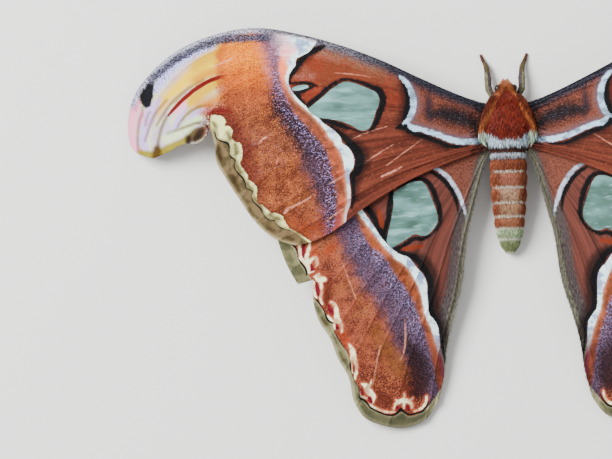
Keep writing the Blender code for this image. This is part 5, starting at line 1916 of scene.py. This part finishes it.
def eye_finish():
    """Dark brown lenses with nearly black lines between them."""
    finish, board, inputs = material("lenses")
    place = board.add("ShaderNodeTexCoord", output="Object")
    grid = {"Vector": place, "Scale": LENSES_PER_METRE}
    rims = {"feature": "DISTANCE_TO_EDGE"}
    lens = board.add("ShaderNodeTexVoronoi", rims, grid, "Distance")
    colour = board.over((8, 7, 6), (44, 30, 22), board.rise(lens, 0.02, 0.12))
    dress(board, inputs, colour, 0.32, 0.35, lens, depth=0.03, strength=0.5)
    return finish


eye_lenses = eye_finish()
for side, word in ((1, "right"), (-1, "left")):
    rings = []
    for share in np.linspace(*EYE_ENDS, EYE_RINGS):
        ahead, high = (EYE_RADIUS * math.sin(math.pi * share) * part for part in circle(EYE_SIDES))
        x = side * (EYE_PLACE[0] + EYE_FLATNESS * EYE_RADIUS * math.cos(math.pi * share))
        ring = [np.full(EYE_SIDES, x), EYE_PLACE[1] + FORWARD + ahead, EYE_PLACE[2] + high]
        rings.append(np.column_stack(ring)[::side])
    eye = closed_tube("eye_dome_" + word, rings)
    eye.data.materials.append(eye_lenses)
    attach(eye, "root")
    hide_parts("eye_" + word)

# The palps: two short feelers side by side under the face, over the small closed mouth. Each is
# soft skin in a coat of pale brown hair that lies forward.
PALP_SIZE = (0.6, 1.2, 0.7)
PALP_PLACE = (0.55, 13.2, 6.5)
PALP_ROUNDING = 0.8
PALP_ENDS = (0.03, 0.97)
PALP_RINGS = 20
PALP_SIDES = 20
PALP_HAIRS = 60.0
PALP_HAIR = 0.6


def palp_finish():
    """Short fur that goes from a dark to a light colour in flecks, paler at the hairs' tips."""
    finish, board, inputs = material("palp_fur")
    fleck = board.noise(board.mark("place", "Vector"), 0.5)
    colour = board.over((168, 112, 86), (206, 160, 134), board.rise(fleck, 0.35, 0.65))
    colour = board.over(colour, (226, 200, 180), board.rise(board.mark("tip"), 0.0, 0.6) * 0.4)
    dress(board, inputs, colour, 0.65, 0.2)
    return finish


palp_fur = palp_finish()
palp_tuft = tuft_shape("short_tuft", width=0.16, lift=0.2, curl=0.06)
for side, word in ((1, "right"), (-1, "left")):
    rings = []
    for share in np.linspace(*PALP_ENDS, PALP_RINGS):
        full = math.sin(math.pi * share) ** PALP_ROUNDING
        high, wide = circle(PALP_SIDES)
        y = PALP_PLACE[1] + FORWARD - PALP_SIZE[1] * math.cos(math.pi * share)
        x = side * PALP_PLACE[0] + PALP_SIZE[0] * full * wide
        z = PALP_PLACE[2] + PALP_SIZE[2] * full * high
        rings.append(np.column_stack([x, np.full(PALP_SIDES, y), z]))
    palp = closed_tube("palp_skin_" + word, rings)
    palp.data.materials.append(palp_fur)
    points, normals = skin_points(palp)
    onward = np.tile([0.0, 1.0, -0.2], (len(points), 1))
    root_hairs(palp, along_skin(onward, normals), PALP_HAIR, 1.0)
    coat_name, seed = "palp_coat_" + word, 51 + side
    palp_coat = grow_fur(coat_name, palp, palp_tuft, PALP_HAIRS, 0.25, seed, palp_fur)
    for piece in (palp, palp_coat):
        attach(piece, "root")
        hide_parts("palp_" + word)

# The antennae: short ringed shafts of brown horn, laid back over the forewings' front edges, with a
# row of fine rays down each side.
ANTENNA_PATH = [
    (1.2, 12.4, 7.8), (2.5, 11.6, 6.2), (3.3, 9.8, 5.6), (4.8, 7.6, 5.4), (7.5, 5.6, 6.1),
    (11, 3.8, 7.4), (16, 1.6, 8.8), (20.5, -0.5, 9.8),
]
SHAFT_RADII = (0.34, 0.14)
SHAFT_JOINTS = 32
SHAFT_RINGS = 200
SHAFT_SIDES = 14
JOINT_SWELL = 0.14
RAY_LENGTH = 1.8


def antenna_finish():
    """Brown horn in flecks of light and dark."""
    finish, board, inputs = material("antenna_horn")
    fleck = board.noise(board.add("ShaderNodeTexCoord", output="Object"), 0.5)
    colour = board.over((92, 44, 26), (168, 100, 60), board.rise(fleck, 0.35, 0.65))
    dress(board, inputs, colour, 0.5, 0.3)
    return finish


def smooth_space(points):
    """Dense points along a smooth curve in space."""
    points = np.array(points, float)
    padded = np.vstack([2 * points[0] - points[1], points, 2 * points[-1] - points[-2]])
    share = np.linspace(0, 1, 16, endpoint=False)[:, None]
    pieces = []
    for a, b, c, d in zip(padded[:-3], padded[1:-2], padded[2:-1], padded[3:]):
        square, cube = 2 * a - 5 * b + 4 * c - d, 3 * b - a - 3 * c + d
        pieces.append(0.5 * (2 * b + (c - a) * share + square * share**2 + cube * share**3))
    return np.vstack([*pieces, points[-1:]])


def path_frames(path, count):
    """Places along a path in space, with its way there, a level one across it and the one up."""
    dense = smooth_space(path)
    length = distances(dense)
    reach = np.linspace(0, length[-1], count)
    places = np.column_stack([np.interp(reach, length, column) for column in dense.T])
    ways = np.gradient(places, axis=0)
    ways /= np.linalg.norm(ways, axis=1, keepdims=True)
    crosswise = np.cross(ways, [0.0, 0.0, 1.0])
    crosswise /= np.linalg.norm(crosswise, axis=1, keepdims=True)
    return places, ways, crosswise, np.cross(crosswise, ways)


def tube_along(name, path, radius_at, count, sides):
    """A closed tube along a path in space. A function of the share of the way gives its radius."""
    frames = path_frames(path, count)
    wide, high = (part[:, None] for part in circle(sides))
    rings = []
    for index, (place, _, cross, up) in enumerate(zip(*frames)):
        rings.append(place + radius_at(index / (count - 1)) * (wide * cross + high * up))
    return closed_tube(name, rings), frames


def shaft_radius(share):
    """Half the shaft's thickness, which swells between its joints."""
    swell = 1 + JOINT_SWELL * abs(math.sin(math.pi * SHAFT_JOINTS * share))
    return (SHAFT_RADII[0] + (SHAFT_RADII[1] - SHAFT_RADII[0]) * share) * swell


def ray_tree():
    """Rays along a shaft's line: one at each point, turned to its way out, scaled by its length."""
    board, (line, ray, length, finish) = new_tree(
        "rays", Geometry="Geometry", Ray="Object", Length="Float", Finish="Material"
    )
    points = board.add("GeometryNodeMeshToPoints", None, {"Mesh": line})
    ways = (stored(board, "lie", "FLOAT_VECTOR"), stored(board, "up", "FLOAT_VECTOR"))
    scale = stored(board, "reach") * length
    return closed_tree(board, planted(board, points, ray, ("X", "Z"), ways, scale), finish)


antenna_horn = antenna_finish()
rays = ray_tree()
ray_shape = tuft_shape("ray", width=0.1, lift=0.05, curl=0.25)
for side, word in ((1, "right"), (-1, "left")):
    path = [(side * x, y + FORWARD, z) for x, y, z in ANTENNA_PATH]
    shaft_name = "antenna_shaft_" + word
    shaft, frames = tube_along(shaft_name, path, shaft_radius, SHAFT_RINGS, SHAFT_SIDES)
    shaft.data.materials.append(antenna_horn)
    roots, lies, ups, reaches = [], [], [], []
    for pick in np.linspace(12, SHAFT_RINGS - 6, 2 * SHAFT_JOINTS).astype(int):
        place, way, cross, up = (part[pick] for part in frames)
        bulge = math.sin(math.pi * min(1, pick / SHAFT_RINGS * 1.1 + 0.02)) ** 0.6
        for hand in (1, -1):
            roots.append(place * MM)
            lies.append(hand * cross + 0.55 * way)
            ups.append(up)
            reaches.append(0.35 + 0.65 * bulge)
    line = bpy.data.meshes.new("ray_roots")
    line.from_pydata(roots, [], [])
    carrier = placed("ray_roots", line)
    mark_points(carrier, "lie", lies, "FLOAT_VECTOR")
    mark_points(carrier, "up", ups, "FLOAT_VECTOR")
    mark_points(carrier, "reach", reaches)
    values = {"Ray": ray_shape, "Length": RAY_LENGTH * MM, "Finish": antenna_horn}
    comb = grown_mesh("antenna_rays_" + word, carrier, rays, values)
    for piece in (shaft, comb):
        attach(piece, "root")
        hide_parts("antenna_" + word)

# The legs: six, of thin jointed horn under short flat fur, each ending in a narrow hooked foot. The
# front pair reaches forward beside the head.
LEG_HAIRS = 24.0
LEG_HAIR = 0.7
FOOT_HAIR_LOSS = 0.45
KNOT_REACH = 0.035
FOOT_GAP = 0.02
# Joints of each leg: out to the side, ahead, height, and half the thickness with its fur
LEGS = {
    "front": [
        (2.0, 6.6, 5.6, 1.2), (3.1, 9.0, 3.3, 1.0), (4.7, 11.8, 3.2, 1.0), (4.9, 15, 2.8, 1.05),
        (5.2, 18.2, 1.8, 0.8), (6.2, 20.6, 0.7, 0.55), (6.7, 22, 0.35, 0.45),
    ],
    "middle": [
        (2.4, 0.5, 5.4, 1.2), (4.3, 0.3, 2.9, 1.05), (7.5, 0, 4.2, 1.0), (11.5, -0.6, 4.8, 1.0),
        (17, -0.6, 2.3, 0.8), (21, 0, 0.7, 0.55), (23, 0.4, 0.35, 0.45),
    ],
    "hind": [
        (2.4, -3, 5.4, 1.2), (4.2, -4, 2.9, 1.05), (6.8, -5.8, 4.0, 1.0), (10, -7.6, 4.6, 1.0),
        (15.4, -10.8, 2.3, 0.8), (19, -12.6, 0.7, 0.55), (20.6, -13.6, 0.35, 0.45),
    ],
}
LEG_COAT_DEPTH = 0.1
LEG_RINGS = 90
LEG_SIDES = 20


def leg_finish():
    """Pale fur with a purple stripe to the knee, a brown shin and a dark red foot."""
    finish, board, inputs = material("leg_fur")
    rise, over = board.rise, board.over
    fleck = board.noise(board.mark("place", "Vector"), 0.5)
    along_leg, over_leg = board.mark("along_leg"), board.mark("over_leg")
    pale = over((122, 122, 104), (176, 174, 154), rise(fleck, 0.35, 0.65))
    purple = over((84, 58, 76), (128, 102, 122), rise(fleck, 0.4, 0.62))
    shin = over((90, 66, 48), (138, 116, 88), rise(fleck, 0.35, 0.65))
    stripe = rise(board.maths("ABSOLUTE", over_leg - 0.5), 0.62, 0.42) * rise(along_leg, 0.2, 0.3)
    colour = board.layers(
        pale,
        (purple, stripe * rise(along_leg, 0.74, 0.66)),
        (shin, rise(along_leg + fleck * 0.04, 0.64, 0.7)),
        ((112, 20, 24), rise(along_leg + fleck * 0.04, 0.84, 0.9)),
        ((236, 230, 210), rise(board.mark("tip"), 0.2, 1.0) * 0.2),
    )
    dress(board, inputs, colour, 0.6, 0.25)
    return finish


def leg_radius_at(reach, radii):
    """The function that gives half a leg's thickness at a share of its length, knots included."""

    def radius(share):
        turns = [min(1, abs(share - joint) / KNOT_REACH) * math.pi for joint in reach[1:-1]]
        knot = max(0.5 * (1 + math.cos(turn)) for turn in turns)
        return float(np.interp(share, reach, radii)) * (0.94 + 0.08 * knot)

    return radius


leg_fur = leg_finish()
leg_tuft = tuft_shape("leg_tuft", width=0.2, lift=0.2, curl=0.05)
for pair, path in LEGS.items():
    for side, word in ((1, "right"), (-1, "left")):
        name = "_".join(("leg", pair, word))
        radii = np.array([joint[3] for joint in path]) - LEG_COAT_DEPTH
        joints = np.array([(side * x, y + FORWARD, z) for x, y, z, _ in path])
        reach = distances(joints)
        radius_at = leg_radius_at(reach / reach[-1], radii)
        leg, frames = tube_along(name + "_skin", joints, radius_at, LEG_RINGS, LEG_SIDES)
        leg.data.materials.append(leg_fur)
        for vertex in leg.data.vertices:
            vertex.co.z = max(vertex.co.z, FOOT_GAP * MM)
        leg.data.update()
        points, normals = skin_points(leg)
        row = np.append(np.repeat(np.arange(LEG_RINGS), LEG_SIDES), [0, LEG_RINGS - 1])
        mark_points(leg, "along_leg", row / (LEG_RINGS - 1))
        mark_points(leg, "over_leg", np.where(normals[:, 2] > -0.2, -side * normals[:, 0], 2.0))
        length = LEG_HAIR * (1 - FOOT_HAIR_LOSS * row / LEG_RINGS)
        root_hairs(leg, along_skin(frames[1][row], normals), length, points[:, 2] > 0.45)
        coat_name, seed = name + "_coat", 61 + len(pair) + side
        leg_coat = grow_fur(coat_name, leg, leg_tuft, LEG_HAIRS, 0.2, seed, leg_fur)
        for piece in (leg, leg_coat):
            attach(piece, "root")
            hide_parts(name)

for template in (thorax_tuft, abdomen_tuft, pad_tuft, wing_tuft, palp_tuft, ray_shape, leg_tuft):
    bpy.data.objects.remove(template)
